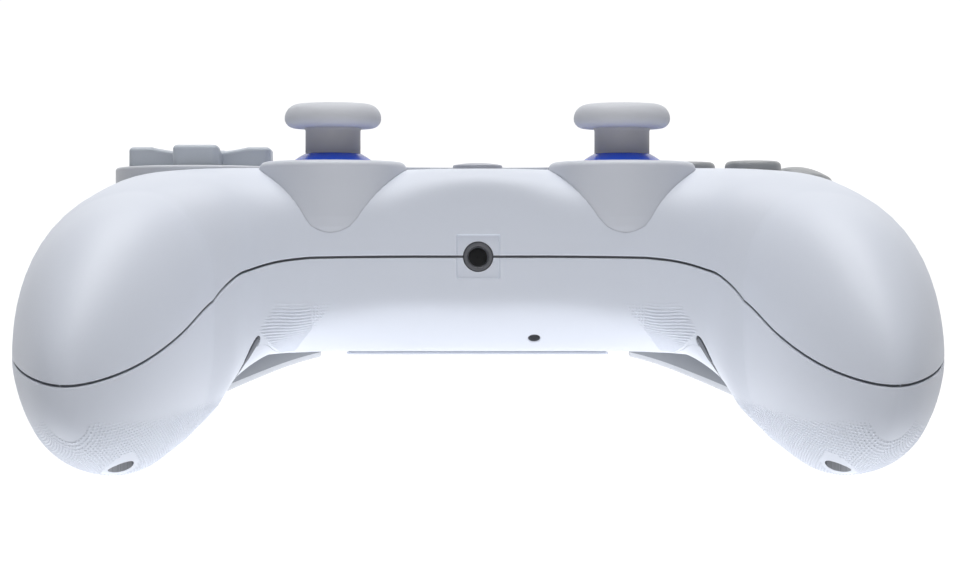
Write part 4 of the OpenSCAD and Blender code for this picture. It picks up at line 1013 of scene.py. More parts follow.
def edge_frame(side):
    """Third axis out of the inner flank, at the leaf of painted shade by a back button."""
    along, inward = Vector(EDGE_ALONG).normalized(), Vector(EDGE_IN)
    outward = (along * inward.dot(along) - inward).normalized()
    return mirrored(axes_frame(EDGE_AT, along.cross(outward), along, outward), side)


def far_frame(z):
    """Third axis out of the far wall."""
    return axes_frame((0, 0, z), (1, 0, 0), (0, 0, 1), (0, 1, 0))


def near_frame(z):
    """Third axis out of the front wall."""
    return axes_frame((0, 0, z), (1, 0, 0), (0, 0, 1), (0, -1, 0))


def turned_under(origin, turn):
    """Third axis out of the underside, turned with it."""
    return axes_frame(origin, *(turn @ Vector(axis) for axis in ((1, 0, 0), (0, -1, 0), (0, 0, -1))))


def under_frame(x, y):
    """Third axis out of the underside."""
    return turned_under((x, y, 0), Matrix.Identity(3))


def reset_frame():
    """Third axis out of the front chamfer, at the reset hole."""
    return turned_under(RESET_AT, turn_about("X", -RESET_TILT))


def button_places():
    """Middle of each face button."""
    x, y = BUTTON_CENTRE
    return {"near": (x, y - BUTTON_RING), "far": (x - FAR_INWARD, y + BUTTON_RING - FAR_NEARER),
            "inner": (x - BUTTON_RING, y), "outer": (x + BUTTON_RING, y)}


def grown_rectangle(size, gap):
    """Outline maker for a window: the rectangle plus its gap, grown further where asked."""
    width, depth, radius = size
    return lambda grow: rounded(width + 2 * (gap + grow), depth + 2 * (gap + grow), radius + gap + grow)


def grown_circle(radius, gap):
    """Outline maker for a round window."""
    return lambda grow: circle(radius + gap + grow)


def leaf(gap):
    """Outline maker for the leaf of painted shade at a back button and its window, broad near its upper end."""
    half_w, half_l, taper = SHADE_LEAF
    u, v = circle(1.0).T
    return lambda grow: np.column_stack([
        u * (1 - taper * v) * (half_w + gap + grow), v * (half_l + gap + grow)])


def oval(size, side):
    """Outline maker for an oval window, turned the other way on the other side."""
    half_w, half_l, turn = size
    spin = side * math.radians(turn)
    turned_back = np.array([(math.cos(spin), math.sin(spin)), (-math.sin(spin), math.cos(spin))])
    return lambda grow: circle(1.0) * (half_w + grow, half_l + grow) @ turned_back


class CONTROLLER_OT_shells(bpy.types.Operator):
    """Upper and lower shell with their windows, recesses and screw holes"""
    bl_idname = "controller.shells"
    bl_label = "Housing shells"

    def execute(self, context):
        form, sizes, looks = settings(context)
        gap, trim = mm(sizes.button_gap), mm(sizes.trim_gap)
        for upper in (True, False):
            points, faces = form.shell(upper)
            name = "upper_shell_skin" if upper else "lower_shell_skin"
            obj = make_object(name, points, faces)
            cutters = self.upper_cutters(form, sizes, gap, trim) if upper else self.lower_cutters(form)
            carve(obj, cutters + self.shared_cutters(form, sizes, trim))
            # painted shade in the seam and the holes, by depth below the skin
            self.mark_painted_shade(form.skins[upper], obj.data)
            settle(obj, "housing", "shell", looks["shell"], "upper_shell" if upper else "lower_shell")
        self.label_pad(form, looks)
        return {"FINISHED"}

    @staticmethod
    def label_pad(form, looks):
        """Bare raised pad under the body, set off by a fine groove."""
        outline = grown_rectangle(LABEL_SIZE, 0)
        rings = [lifted(outline(grow), form.height + z) for grow, z in LABEL_STEPS]
        pad = lofted("label_pad", under_frame(*LABEL_AT), rings)
        settle(pad, "housing", "shell", looks["shell"])

    @staticmethod
    def mark_painted_shade(skin, mesh):
        """Face mask of painted shade in the seam, the holes and the inside, growing with depth below the skin."""
        centres = np.empty(3 * len(mesh.polygons), np.float32)
        mesh.polygons.foreach_get("center", centres)
        depth = [skin.find_nearest(centre)[3] for centre in centres.reshape(-1, 3).tolist()]
        layer = mesh.attributes.new("hollow", "FLOAT", "FACE")
        shade = np.interp(depth, *PAINTED_SHADE_BY_DEPTH)
        layer.data.foreach_set("value", shade.astype(np.float32))

    @staticmethod
    def window(form, matrix, outline, upper, low, high, edge):
        """Cutter for a window in the skin, with the housing's soft edge unless it has its own."""
        soft = form.edge if edge is None else edge
        return window_cutter(matrix, outline, low, high, lambda p: form.skin_height(matrix, p, upper), soft)

    def upper_cutters(self, form, sizes, gap, trim):
        """Windows of the upper shell."""
        cutters = []

        def window(kind, matrix, outline):
            cutters.append(self.window(form, matrix, outline, True, *WINDOWS[kind]))

        collar = mm(sizes.collar_r) + trim
        bar = (mm(sizes.trigger_w), SHOULDER_H, SHOULDER_ROUND)
        for side in SIDES.values():
            rings = [lifted(circle(collar + out), z) for out, z in (*COLLAR_SIDE, COLLAR_OPEN)]
            cutters.append(lofted("cutter", on_side(STICK_AT, side), rings))
            window("pill", on_side(PILL_AT, side), grown_rectangle(PILL_SIZE, gap))
            window("shoulder", shoulder_frame(side), grown_rectangle(bar, gap))
        pad = on_side(PAD_AT, SIDES["left"])
        cutters.append(window_cutter(pad, grown_circle(mm(sizes.plate_r), trim), *WINDOWS["plate"][:2]))
        for place in button_places().values():
            window("button", upright(*place), grown_circle(mm(sizes.button_d) / 2, gap))
        window("home", upright(0, STICK_AT[1]), grown_circle(mm(sizes.home_d) / 2, gap))
        window("touch", upright(*TOUCH_AT), grown_rectangle(TOUCH_SIZE, gap))
        window("light", far_frame(LIGHT_Z), grown_rectangle(LIGHT_SIZE, trim))
        window("port", far_frame(PORT_Z), grown_rectangle(PORT_SIZE, trim))
        return cutters

    def lower_cutters(self, form):
        """Windows of the lower shell."""
        cutters = []

        def window(matrix, outline, cut):
            cutters.append(self.window(form, matrix, outline, False, *cut))

        for side in SIDES.values():
            window(back_frame(side), grown_rectangle(BACK_SIZE, BACK_GAP), WINDOWS["back"])
            window(edge_frame(side), leaf(EDGE_GAP), WINDOWS["edge"])
            holes = ((GRIP_SCREW, oval(GRIP_HOLE, side)), (FAR_SCREW, grown_circle(SCREW_HOLE, 0)))
            for (x, y, seat), hole in holes:
                window(under_frame(side * x, y), hole, (-seat - SCREW_ROOM, SCREW_CUT, SCREW_EDGE))
        window(reset_frame(), grown_circle(RESET_HOLE, 0), WINDOWS["reset"])
        return cutters

    @staticmethod
    def shared_cutters(form, sizes, trim):
        """Trigger openings and the jack with its square recess."""
        width = mm(sizes.trigger_w) / 2 + TRIGGER_CLEAR
        cutters = [box_solid(mirrored(trigger_frame(), side), (-width, *OPENING_LOW), (width, *OPENING_HIGH))
                   for side in SIDES.values()]
        front = near_frame(JACK_Z)
        low, high = (form.front + out for out in JACK_CUT)
        cutters.append(window_cutter(front, grown_circle(JACK_RING, trim), low, high))

        def recess(grow, out):
            wide = RECESS_SIZE + 2 * grow
            return lifted(rounded(wide, wide + RECESS_TALL, RECESS_ROUND + grow), form.front + out)

        rings = [recess(0, -RECESS_DEPTH), *(recess(RECESS_FLARE, out) for out in RECESS_OUT)]
        cutters.append(lofted("cutter", front, rings))
        return cutters


class CONTROLLER_OT_grip_studs(bpy.types.Operator):
    """Fine pyramids that roughen the underside of both grips"""
    bl_idname = "controller.grip_studs"
    bl_label = "Grip studs"

    def execute(self, context):
        form, _, looks = settings(context)
        sizes = context.scene.controller_housing
        pitch, height = mm(sizes.stud_pitch), mm(sizes.stud_height)
        points, outward, fade = self.stud_places(form, pitch)
        for name, side in SIDES.items():
            turn = np.array([side, 1, 1])
            obj = shaped(f"{name}_grip_studs", stud_tree, points * turn, [], {
                "Width": pitch * STUD_WIDTH, "Height": height, "Material": looks["shell"]}, [
                ("outward", "FLOAT_VECTOR", outward * turn), ("fade", "FLOAT", fade)])
            settle(obj, "housing", "shell", looks["shell"], smooth=5)
        return {"FINISHED"}

    @staticmethod
    def stud_places(form, pitch):
        """Points one pitch apart on the underside of the right grip, with direction and fading height."""
        places, directions, heights = [], [], []
        fine = np.linspace(4, 176, 240)
        q, stop = FAN_X - STUD_BEFORE, form.grip_start + form.grip - STUD_SHORT
        close = form.grip_start + CLOSE_START
        while q < stop:
            closing = q > close
            if closing:
                share = (q - close) / (form.grip - CLOSE_START)
                station = (close, math.degrees(math.asin(min(1, share))))
                ahead, step = (close, station[1] + STEP_CLOSING), STEP_CLOSING
            else:
                station, ahead, step = (q, 0), (q + STEP_ALONG, 0), STEP_ALONG
            row = form.edge_row(station, False, 0, 0, fine)
            after = form.edge_row(ahead, False, 0, 0, fine)
            run = np.concatenate([[0], np.cumsum(np.linalg.norm(np.diff(row, axis=0), axis=1))])
            wanted = np.arange(pitch, run[-1] - pitch, pitch)
            spot, along, across = (
                np.column_stack([np.interp(wanted, run, values[:, i]) for i in range(3)])
                for values in (row, after - row, np.gradient(row, run, axis=0)))
            normal = np.cross(along, across)
            normal /= np.linalg.norm(normal, axis=1)[:, None] + 1e-12
            normal *= -np.sign(normal[len(normal) // 2, 2])
            places.append(spot)
            directions.append(normal)
            heights.append(CONTROLLER_OT_grip_studs.fading(spot, wanted / run[-1]))
            stretch = np.linalg.norm((after - row)[len(row) // 2]) / step
            q += pitch if closing else pitch / max(stretch, LEAST_STRETCH)
        spot, normal, level = (np.concatenate(rows) for rows in (places, directions, heights))
        keep = level > STUD_LEAST
        mouth = form.skin_height(under_frame(*GRIP_SCREW[:2]), np.zeros((1, 2)), False)[0]
        keep &= np.linalg.norm(spot - (*GRIP_SCREW[:2], -mouth), axis=1) > STUD_FREE
        local = np.abs(apply_frame(back_frame(1).inverted(), spot)[:, :2])
        keep &= (local > np.array(BACK_SIZE[:2]) / 2 + STUD_MARGIN).any(1)
        return spot[keep] - normal[keep] * STUD_SINK, normal[keep], level[keep]

    @staticmethod
    def fading(spot, share):
        """Share of the full stud height at places on the skin, and at their share of the section."""
        x, y, z = spot.T
        place, height, lean, sharp = STUD_INNER
        level = np.clip((np.interp(x, *STUD_TOP) - z) / STUD_TOP_FADE, 0, 1)
        level *= np.clip((STUD_OUTER - share) / STUD_OUTER_FADE, 0, 1)
        level *= np.clip(np.interp(x, *STUD_FAR) - y, 0, 1)
        return level * np.clip(sharp * (x - place - lean * (height - z)), 0, 1)


class CONTROLLER_OT_sticks(bpy.types.Operator):
    """Both thumb sticks: cap, stem, ball skirt and collar"""
    bl_idname = "controller.sticks"
    bl_label = "Thumb sticks"

    def execute(self, context):
        _, sizes, looks = settings(context)
        for name, side in SIDES.items():
            at, stick = on_side(STICK_AT, side), f"{name}_stick"
            for look, body, node in (("collar", "housing", "bezel"), ("cap", stick, "cap"),
                                     ("stem", stick, "stem"), ("skirt", stick, "dome")):
                profile = getattr(self, look)(sizes)
                piece = turned(f"{name}_{look}", profile, at, looks[look], sizes.segments)
                settle(piece, body, look, looks[look], f"{stick}_{node}", smooth=50)
        return {"FINISHED"}

    @staticmethod
    def collar(sizes):
        """Profile of a collar: swelling outside, round rim, open middle."""
        rim, bend = mm(sizes.collar_r), COLLAR_TOP + COLLAR_LIP
        side = [(rim + out, z) for out, z in COLLAR_SIDE]
        lip = (COLLAR_BORE[0][0] + COLLAR_LIP, COLLAR_TOP - COLLAR_LIP)
        return (side + arc((rim - bend, -COLLAR_LIP), bend, 0, 90)
                + arc(lip, COLLAR_LIP, 90, 180, 6) + list(COLLAR_BORE))

    @staticmethod
    def cap(sizes):
        """Profile of a mushroom cap with a dished top."""
        radius, top, thick = mm(sizes.cap_d) / 2, mm(sizes.cap_top), mm(sizes.cap_h)
        base, over, under = top - thick, thick * CAP_OVER, thick * CAP_UNDER
        margin, depth, rise = CAP_DISH
        flat = radius - margin
        dish = [(r, top - depth + rise * (r / flat) ** 2) for r in np.linspace(0, flat, 12)]
        upper = arc((radius - over, top - over), over, 88, 0, 14)
        lower = arc((radius - under, base + under), under, 0, -88, 12)
        brim = (radius - over - CAP_BRIM[0], top - CAP_BRIM[1])
        return (dish + [brim] + upper + lower
                + [(r, base + z) for r, z in CAP_HOLLOW])

    @staticmethod
    def stem(sizes):
        """Profile of a stem that spreads a little under the cap."""
        radius, top = mm(sizes.stem_d) / 2, mm(sizes.cap_top) - mm(sizes.cap_h)
        flare = [(radius + out, top + z) for out, z in STEM_FLARE]
        end = flare[-1][1]
        return [(0, STEM_FOOT), (radius, STEM_FOOT), *flare, (3.0, end), (0, end)]

    @staticmethod
    def skirt(sizes):
        """Profile of the hollow ball skirt."""
        outer, stem = mm(sizes.skirt_r), mm(sizes.stem_d) / 2
        inner = outer - SKIRT_WALL
        top, under = (90 - math.degrees(math.asin(stem / radius)) for radius in (outer, inner))
        middle = (0, PIVOT_Z)
        return arc(middle, outer, SKIRT_OPEN, top, 30) + arc(middle, inner, under, SKIRT_OPEN, 30)


class CONTROLLER_OT_cross_pad(bpy.types.Operator):
    """Dished cross pad and the round plate that it rocks in"""
    bl_idname = "controller.cross_pad"
    bl_label = "Cross pad"

    def execute(self, context):
        _, sizes, looks = settings(context)
        at = on_side(PAD_AT, SIDES["left"])
        span, arm = mm(sizes.cross_span), mm(sizes.cross_arm)
        top, dish = mm(sizes.cross_top), mm(sizes.cross_dish)

        def dished(points):
            """Height of the cross: high at the tips, low in the middle."""
            reach = np.hypot(points[:, 0], points[:, 1]) / (span / 2 - TIP_FLAT)
            return top - dish * (1 - np.minimum(1, reach) ** 2)

        outline = cross_outline(span, arm, CROSS_ROUND)
        cross = key_top("cross_pad", at, outline, dished, CROSS_SOFT, CROSS_FOOT, rings=44)
        settle(cross, "dpad", "cross", looks["cross"], "dpad")
        settle(self.plate(sizes, at, looks), "housing", "pad_plate", looks["pad_plate"], "dpad_plate")
        return {"FINISHED"}

    @staticmethod
    def plate(sizes, at, looks):
        """Round plate with the window for the cross, and the skirt that closes it below."""
        radius, height = mm(sizes.plate_r), mm(sizes.plate_top)
        level = lambda points: np.full(len(points), height)
        plate = key_top("pad_plate", at, circle(radius, 128), level, PLATE_SOFT, PLATE_BASE)
        window = cross_outline(mm(sizes.cross_span) + 2 * CROSS_GAP, mm(sizes.cross_arm) + 2 * CROSS_GAP,
                               CROSS_ROUND + CROSS_GAP)
        grown = lambda grow: window * (1 + grow / CROSS_HALF)
        carve(plate, [window_cutter(at, grown, *CROSS_CUT, level, CROSS_EDGE)])
        inside = radius - PLATE_WALL
        profile = [(inside, PLATE_FOOT), (radius, PLATE_FOOT), (radius, PLATE_TOP), (inside, PLATE_TOP)]
        skirt = turned("plate_skirt", profile, at, looks["pad_plate"], 128, 60)
        beside, above, out = KEY_ROOM
        half_w, half_h = mm(sizes.trigger_w) / 2 + beside, SHOULDER_H / 2 + above
        carve(skirt, [box_solid(shoulder_frame(SIDES["left"]), (-half_w, -half_h, 0), (half_w, half_h, out))])
        return joined("pad_plate", [plate, skirt])


class CONTROLLER_OT_face_buttons(bpy.types.Operator):
    """Four face buttons and the home button"""
    bl_idname = "controller.face_buttons"
    bl_label = "Face buttons"

    def execute(self, context):
        _, sizes, looks = settings(context)
        radius, top = mm(sizes.button_d) / 2, mm(sizes.button_top)
        for name, place in button_places().items():
            lower, bow, slope = FACE_TOPS[name]
            fall = math.tan(math.radians(slope))

            def crowned(points):
                """Domed top, sloped on the outer button."""
                return top - lower - points[:, 0] * fall - bow * ((points / radius) ** 2).sum(1)

            button = key_top(f"{name}_face_button", upright(*place), circle(radius), crowned, FACE_SOFT,
                             BUTTON_FOOT)
            settle(button, f"{name}_button", "button", looks["button"], f"{name}_button")
        half = mm(sizes.home_d) / 2
        domed = lambda points: HOME_TOP - HOME_DOME * ((points / half) ** 2).sum(1)
        home = key_top("home_key", upright(0, STICK_AT[1]), circle(half), domed, HOME_SOFT, HOME_FOOT)
        settle(home, "home_button", "small_button", looks["small_button"], "home_button")
        return {"FINISHED"}


class CONTROLLER_OT_skin_buttons(bpy.types.Operator):
    """Buttons and trim that follow the skin: touch pad, menu pills, shoulders, back buttons, light bar"""
    bl_idname = "controller.skin_buttons"
    bl_label = "Buttons in the skin"

    def execute(self, context):
        form, sizes, looks = settings(context)
        self.key(form, "touch_surface", upright(*TOUCH_AT), rounded(*TOUCH_SIZE), True, "touch",
                 ("touch_pad", "touch", looks["touch"], "touch_pad"))
        self.key(form, "light_guide", far_frame(LIGHT_Z), rounded(*LIGHT_SIZE), True, "light",
                 ("housing", "light", looks["light"], "light_bar"))
        for name, side in (("share", "left"), ("options", "right")):
            node = f"{name}_button"
            self.key(form, f"{name}_pill", on_side(PILL_AT, SIDES[side]), rounded(*PILL_SIZE), True, "pill",
                     (node, "small_button", looks["small_button"], node))
        bar = rounded(mm(sizes.trigger_w), SHOULDER_H, SHOULDER_ROUND)
        for name, side in SIDES.items():
            body = f"{name}_shoulder"
            self.key(form, f"{name}_shoulder_key", shoulder_frame(side), bar, True, "shoulder",
                     (body, "trigger", looks["trigger"], body), SHOULDER_LEAST)
            body = f"{name}_back_button"
            self.key(form, f"{name}_back_paddle", back_frame(side), rounded(*BACK_SIZE), False, "back",
                     (body, "shell", looks["shell"], body))
            # dark leaf of painted shade at the near end of the back button
            self.key(form, f"{name}_back_shade_leaf", edge_frame(side), leaf(0)(0), False, "edge",
                     (body, "back", looks["back"]))
        return {"FINISHED"}

    @staticmethod
    def key(form, name, matrix, outline, upper, fit, ties, least=None):
        """One key that stands a little proud of the skin and follows it."""
        proud, depth, soft = KEY_FIT[fit]

        def skin(points):
            height = form.skin_height(matrix, points, upper)
            return height if least is None else np.maximum(height, least)

        obj = key_top(name, matrix, outline, lambda p: skin(p) + proud, soft, lambda p: skin(p) - depth)
        settle(obj, *ties)


class CONTROLLER_OT_triggers(bpy.types.Operator):
    """Both triggers with their curled lips and hinge lugs"""
    bl_idname = "controller.triggers"
    bl_label = "Triggers"

    def execute(self, context):
        _, sizes, looks = settings(context)
        width = mm(sizes.trigger_w)
        for name, side in SIDES.items():
            matrix = mirrored(trigger_frame(), side)
            rings = [self.ring(self.outline(self.drop_at(x)), x, inset) for x, inset in self.levels(width)]
            blade = lofted("blade", matrix, rings)
            # dark sheet of painted shade on the back of the blade
            self.painted_shade_sheet(name, matrix, width, looks)
            trigger = joined(f"{name}_trigger_blade", [blade, *self.hinge(matrix, looks)])
            settle(trigger, f"{name}_trigger", "trigger", looks["trigger"], f"{name}_trigger", smooth=40)
        return {"FINISHED"}

    @staticmethod
    def hinge(matrix, looks):
        """Two lugs on the pin, each with an arm to the blade."""
        parts = []
        profile = [(LUG_BORE, -LUG_HALF), (LUG_R, -LUG_HALF), (LUG_R, LUG_HALF), (LUG_BORE, LUG_HALF)]
        for x in (-LUG_AT, LUG_AT):
            lug = turned("lug", profile, Matrix.Translation((0, 0, x)), looks["trigger"], 48, 60)
            lug.data.transform(matrix @ turn_about("Y", 90, 4))
            end = TRIGGER_REACH - TRIGGER_PLATE + ARM_SINK
            arm = box_solid(matrix, (x - ARM_HALF, ARM_ROOT, -ARM_HEIGHT), (x + ARM_HALF, end, ARM_HEIGHT))
            parts.extend((lug, arm))
        return parts

    @staticmethod
    def curve(drop):
        """Middle, radius and sweep of the hollow finger face, and the middle of its lip."""
        lip_r = TRIGGER_PLATE / 2
        rise = TRIGGER_LIP - TRIGGER_REACH + lip_r
        bend = (rise**2 + drop**2) / (2 * rise) - lip_r
        middle = (TRIGGER_REACH + bend, 0.0)
        lip_y = middle[0] - math.sqrt((bend + lip_r) ** 2 - drop**2)
        return middle, bend, math.degrees(math.atan2(drop, middle[0] - lip_y)), lip_y

    @staticmethod
    def drop_at(x):
        """Drop of the lip at one place along the pin: deeper at both ends, as a finger's hollow."""
        grow = lambda out: np.clip((out - LIP_MARGIN) / LIP_RUN, 0, 1) ** 2
        return TRIGGER_DROP + LIP_INNER * grow(-x) + LIP_OUTER * grow(x)

    def painted_shade_sheet(self, name, matrix, width, looks):
        """Dark sheet of painted shade over the face that the player sees from behind, down to the lip."""
        rings = []
        half = width / 2 - SHADE_SHEET_MARGIN
        for x in np.linspace(-half, half, 25):
            middle, bend, sweep, _ = self.curve(self.drop_at(x))
            back = bend + TRIGGER_PLATE
            end = 180 + sweep - math.degrees((SHADE_SHEET_LIP + SHADE_SHEET_SLANT * x) / back)
            outer = arc(middle, back + SHADE_SHEET_PROUD, end, SHADE_SHEET_TOP, 30)
            inner = arc(middle, back - SHADE_SHEET_SINK, SHADE_SHEET_TOP, end, 30)
            rings.append(np.array([(x, y, z) for y, z in outer + inner]))
        painted_shade_sheet = lofted(f"{name}_trigger_lining", matrix, rings)
        settle(painted_shade_sheet, f"{name}_trigger", "trigger", looks["painted_shade_sheet"], smooth=40)

    def outline(self, drop):
        """Side view of the blade: round top, hollow finger face, round lip."""
        middle, bend, sweep, lip_y = self.curve(drop)
        finger = arc(middle, bend, 180, 180 + sweep, 26)
        lip = arc((lip_y, -drop), TRIGGER_PLATE / 2, sweep, sweep - 180, 12)[1:-1]
        back = arc(middle, bend + TRIGGER_PLATE, 180 + sweep, 180, 26)
        outer = arc((0, 0), TRIGGER_REACH, TRIGGER_TOP, 1, 14)
        inner = arc((0, 0), TRIGGER_REACH - TRIGGER_PLATE, 1, TRIGGER_TOP, 14)
        return np.array(outer + finger + lip + back + inner)

    @staticmethod
    def ring(outline, x, inset):
        """The side view at one place along the pin, drawn in by an inset."""
        run = np.roll(outline, -1, axis=0) - np.roll(outline, 1, axis=0)
        normal = np.column_stack([run[:, 1], -run[:, 0]]) / np.linalg.norm(run, axis=1)[:, None]
        spun = np.roll(outline, -1, axis=0)
        area = (outline[:, 0] * spun[:, 1] - outline[:, 1] * spun[:, 0]).sum()
        flat = outline - normal * inset * (1 if area > 0 else -1)
        return np.column_stack([np.full(len(flat), x), flat])

    @staticmethod
    def levels(width, soft=0.7):
        """Places and insets that round both ends of the blade."""
        turns = np.radians(np.linspace(90, 0, 7))
        left = [(soft * (1 - math.sin(t)) - width / 2, soft * (1 - math.cos(t))) for t in turns]
        right = [(-x, inset) for x, inset in left[::-1]]
        return left + [(x, 0.0) for x in np.linspace(left[-1][0], right[0][0], 18)[1:-1]] + right


class CONTROLLER_OT_ports(bpy.types.Operator):
    """Headphone jack and charging socket"""
    bl_idname = "controller.ports"
    bl_label = "Ports"

    def execute(self, context):
        form, _, looks = settings(context)
        front = near_frame(JACK_Z)
        face = form.front - JACK_BACK
        profile = ([(JACK_BORE, -JACK_DEPTH), (JACK_BORE, -JACK_EDGE)]
                   + arc((JACK_BORE + JACK_IN, -JACK_IN), JACK_IN, 180, 90, 6)
                   + arc((JACK_RING - JACK_OUT, -JACK_OUT), JACK_OUT, 90, 0, 6)
                   + [(JACK_RING, -JACK_NECK), (JACK_BODY, -JACK_NECK), (JACK_BODY, -JACK_LENGTH),
                      (0, -JACK_LENGTH), (0, -JACK_DEPTH)])
        for name, line, look, samples, nodes in (("jack_barrel", profile, "jack", 220, ["headphone_jack"]),
                                                 ("jack_sleeve", JACK_SLEEVE, "pad_plate", 60, [])):
            placed = [(r, face + z) for r, z in line]
            piece = turned(name, placed, front, looks[look], 72, samples)
            settle(piece, "housing", look, looks[look], *nodes, smooth=50)
        self.socket(form, looks)
        return {"FINISHED"}

    @staticmethod
    def socket(form, looks):
        """Rounded steel sleeve with the contact tongue inside."""
        matrix = far_frame(PORT_Z)
        face = form.far - SOCKET_BACK
        outline, tongue = grown_rectangle(PORT_SIZE, 0), rounded(*TONGUE_SIZE)
        parts = [lofted("sleeve", matrix, [lifted(outline(grow), face - z) for grow, z in SOCKET_RINGS]),
                 lofted("tongue", matrix, [lifted(tongue * k, face - z) for k, z in TONGUE_RINGS])]
        socket = joined("charging_socket", parts)
        settle(socket, "housing", "port_metal", looks["port_metal"], "usb_port")


class CONTROLLER_OT_screws(bpy.types.Operator):
    """Housing screws in the grips and under the body"""
    bl_idname = "controller.screws"
    bl_label = "Screws"

    def execute(self, context):
        _, _, looks = settings(context)
        places = [(side * x, y, z) for x, y, z in (GRIP_SCREW, FAR_SCREW) for side in SIDES.values()]
        screws = shaped("cross_head_screws", screw_tree, places, [], {
            "Head": 2.1, "Thickness": 1.6, "Shank": 1.1, "Reach": 14.0, "Material": looks["screw"]})
        settle(screws, "housing", "screw", looks["screw"], "housing_screws")
        return {"FINISHED"}


class CONTROLLER_OT_inner_parts(bpy.types.Operator):
    """Finishes of the pieces that stay as they were constructed"""
    bl_idname = "controller.inner_parts"
    bl_label = "Inner parts"

    def execute(self, context):
        _, _, looks = settings(context)
        slots = {part["node"]: part["material_slot"] for part in frame["record"]["subparts"]}
        for node, obj in frame["nodes"].items():
            if obj.hide_render:
                continue
            obj.data.materials.clear()
            obj.data.materials.append(looks[slots[node]])
        return {"FINISHED"}


def seen_directly(tree):
    """1 for the rays of the camera, of reflections and of glass, 0 for those that light the pieces."""
    path = add_node(tree, "ShaderNodeLightPath")
    seen = math_node(tree, "MAXIMUM", path.outputs["Is Camera Ray"], path.outputs["Is Glossy Ray"])
    return math_node(tree, "MAXIMUM", seen, path.outputs["Is Transmission Ray"])


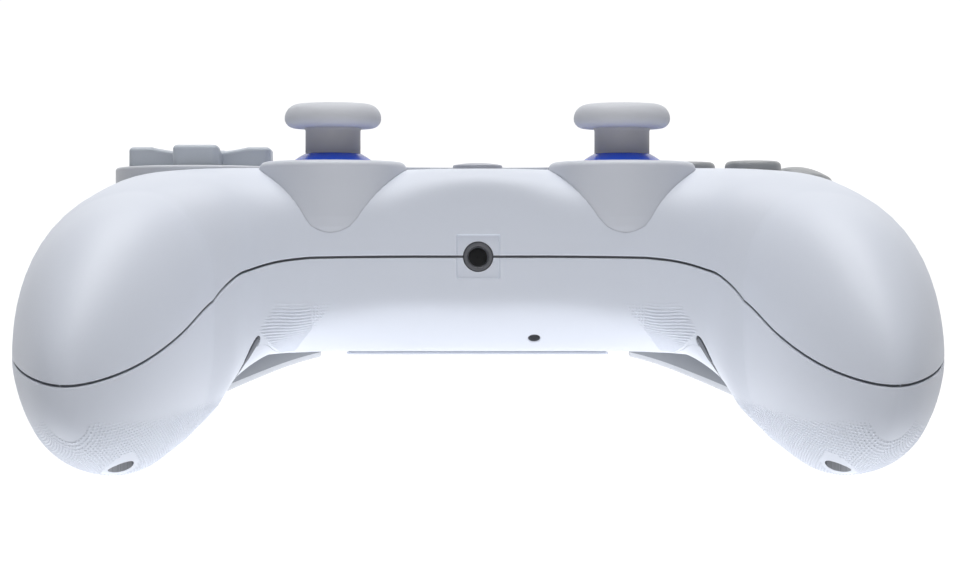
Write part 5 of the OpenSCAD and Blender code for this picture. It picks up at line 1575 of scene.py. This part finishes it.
class CONTROLLER_OT_stage(bpy.types.Operator):
    """Pale floor and backdrop, soft lamps and the photographed view"""
    bl_idname = "controller.stage"
    bl_label = "Stage"

    def execute(self, context):
        scene = context.scene
        scene.view_settings.view_transform = "Standard"
        self.backdrop()
        self.lamps(scene)
        self.camera(scene)
        return {"FINISHED"}

    @staticmethod
    def backdrop():
        """Floor that sweeps up into a backdrop, white to the camera but still shaded by the controller."""
        bend, depth, height, half = 0.6, 2.4, 2.6, 4.0
        line = [(-2.6, 0.0), (depth - bend, 0.0)]
        line += [(depth - bend + bend * math.sin(t), bend - bend * math.cos(t))
                 for t in np.linspace(0, math.pi / 2, 13)]
        line.append((depth, height))
        points = [(x, y, z + FLOOR_Z) for y, z in line for x in (-half, half)]
        mesh = bpy.data.meshes.new("studio_floor")
        mesh.from_pydata(points, [], [[2 * i, 2 * i + 1, 2 * i + 3, 2 * i + 2] for i in range(len(line) - 1)])
        mesh.shade_smooth()
        floor = linked("studio_floor", mesh)
        material = bpy.data.materials.new("Pale floor")
        material.use_nodes = True
        tree = material.node_tree
        tree.nodes.remove(tree.nodes["Principled BSDF"])
        paint = add_node(tree, "ShaderNodeBsdfDiffuse", {"Color": FLOOR_PAINT})
        glow = add_node(tree, "ShaderNodeEmission", {"Color": (1.0, 1.0, 1.0, 1.0), "Strength": FLOOR_GLOW})
        share = math_node(tree, "MULTIPLY", seen_directly(tree), GLOW_SHARE)
        mix = add_node(tree, "ShaderNodeMixShader", {0: share, 1: paint.outputs[0], 2: glow.outputs[0]})
        tree.links.new(mix.outputs[0], tree.nodes["Material Output"].inputs["Surface"])
        mesh.materials.append(material)

    @staticmethod
    def lamps(scene):
        """Soft boxes above, in front and on the floor, in a dim room."""
        world = bpy.data.worlds.new("Pale room")
        world.use_nodes = True
        tree = world.node_tree
        ground = tree.nodes["Background"]
        ground.inputs["Color"].default_value = ROOM_COLOUR
        strength = add_node(tree, "ShaderNodeMapRange", {
            "Value": seen_directly(tree), "To Min": ROOM_DIM, "To Max": ROOM_SEEN})
        tree.links.new(strength.outputs[0], ground.inputs["Strength"])
        scene.world = world
        for name, (place, target, size, power) in SOFT_BOXES.items():
            lamp = bpy.data.lights.new(name, "AREA")
            lamp.shape = "RECTANGLE"
            lamp.size, lamp.size_y = size
            lamp.energy = power
            obj = linked(name, lamp)
            obj.location = place
            obj.rotation_euler = (Vector(target) - Vector(place)).to_track_quat("-Z", "Y").to_euler()
            obj.visible_camera = False

    @staticmethod
    def camera(scene):
        """Level view from the player's edge."""
        data = bpy.data.cameras.new("photo_view")
        data.sensor_width = 36.0
        data.lens = FOCAL_PIXELS / IMAGE_WIDTH * data.sensor_width
        data.clip_start, data.clip_end = 0.01, 50.0
        camera = linked("photo_view", data)
        aim = turn_about("Z", -CAMERA_YAW) @ turn_about("X", 90)
        turn = LEVEL.to_3x3().normalized() @ aim
        camera.matrix_world = Matrix.Translation(LEVEL @ Vector(CAMERA_AT)) @ turn.to_4x4()
        scene.camera = camera


class CONTROLLER_PT_pieces(bpy.types.Panel):
    """Builds the pieces of the controller one group at a time"""
    bl_label = "Controller"
    bl_idname = "CONTROLLER_PT_pieces"
    bl_space_type = "VIEW_3D"
    bl_region_type = "UI"
    bl_category = "Controller"

    def draw(self, context):
        for operator in OPERATORS:
            self.layout.operator(operator.bl_idname)
        for label, group in GROUPS.items():
            box = self.layout.box()
            box.label(text=group.__doc__)
            for field in group.__annotations__:
                box.prop(getattr(context.scene, label), field)


OPERATORS = (CONTROLLER_OT_stage, CONTROLLER_OT_shells, CONTROLLER_OT_grip_studs, CONTROLLER_OT_sticks,
             CONTROLLER_OT_cross_pad, CONTROLLER_OT_face_buttons, CONTROLLER_OT_skin_buttons,
             CONTROLLER_OT_triggers, CONTROLLER_OT_ports, CONTROLLER_OT_screws, CONTROLLER_OT_inner_parts)
GROUPS = {"controller_housing": ControllerHousing, "controller_controls": ControllerControls,
          "controller_colours": ControllerColours}


def register():
    """Adds the settings, operators and panel to Blender."""
    for group in GROUPS.values():
        bpy.utils.register_class(group)
    for operator in (*OPERATORS, CONTROLLER_PT_pieces):
        bpy.utils.register_class(operator)
    for label, group in GROUPS.items():
        setattr(bpy.types.Scene, label, PointerProperty(type=group))


def unregister():
    """Takes them out again."""
    for label in GROUPS:
        delattr(bpy.types.Scene, label)
    for kind in (CONTROLLER_PT_pieces, *reversed(OPERATORS), *reversed(GROUPS.values())):
        bpy.utils.unregister_class(kind)


def main():
    """Builds every group of pieces."""
    register()
    for operator in OPERATORS:
        family, name = operator.bl_idname.split(".")
        getattr(getattr(bpy.ops, family), name)()


if __name__ == "__main__":
    main()
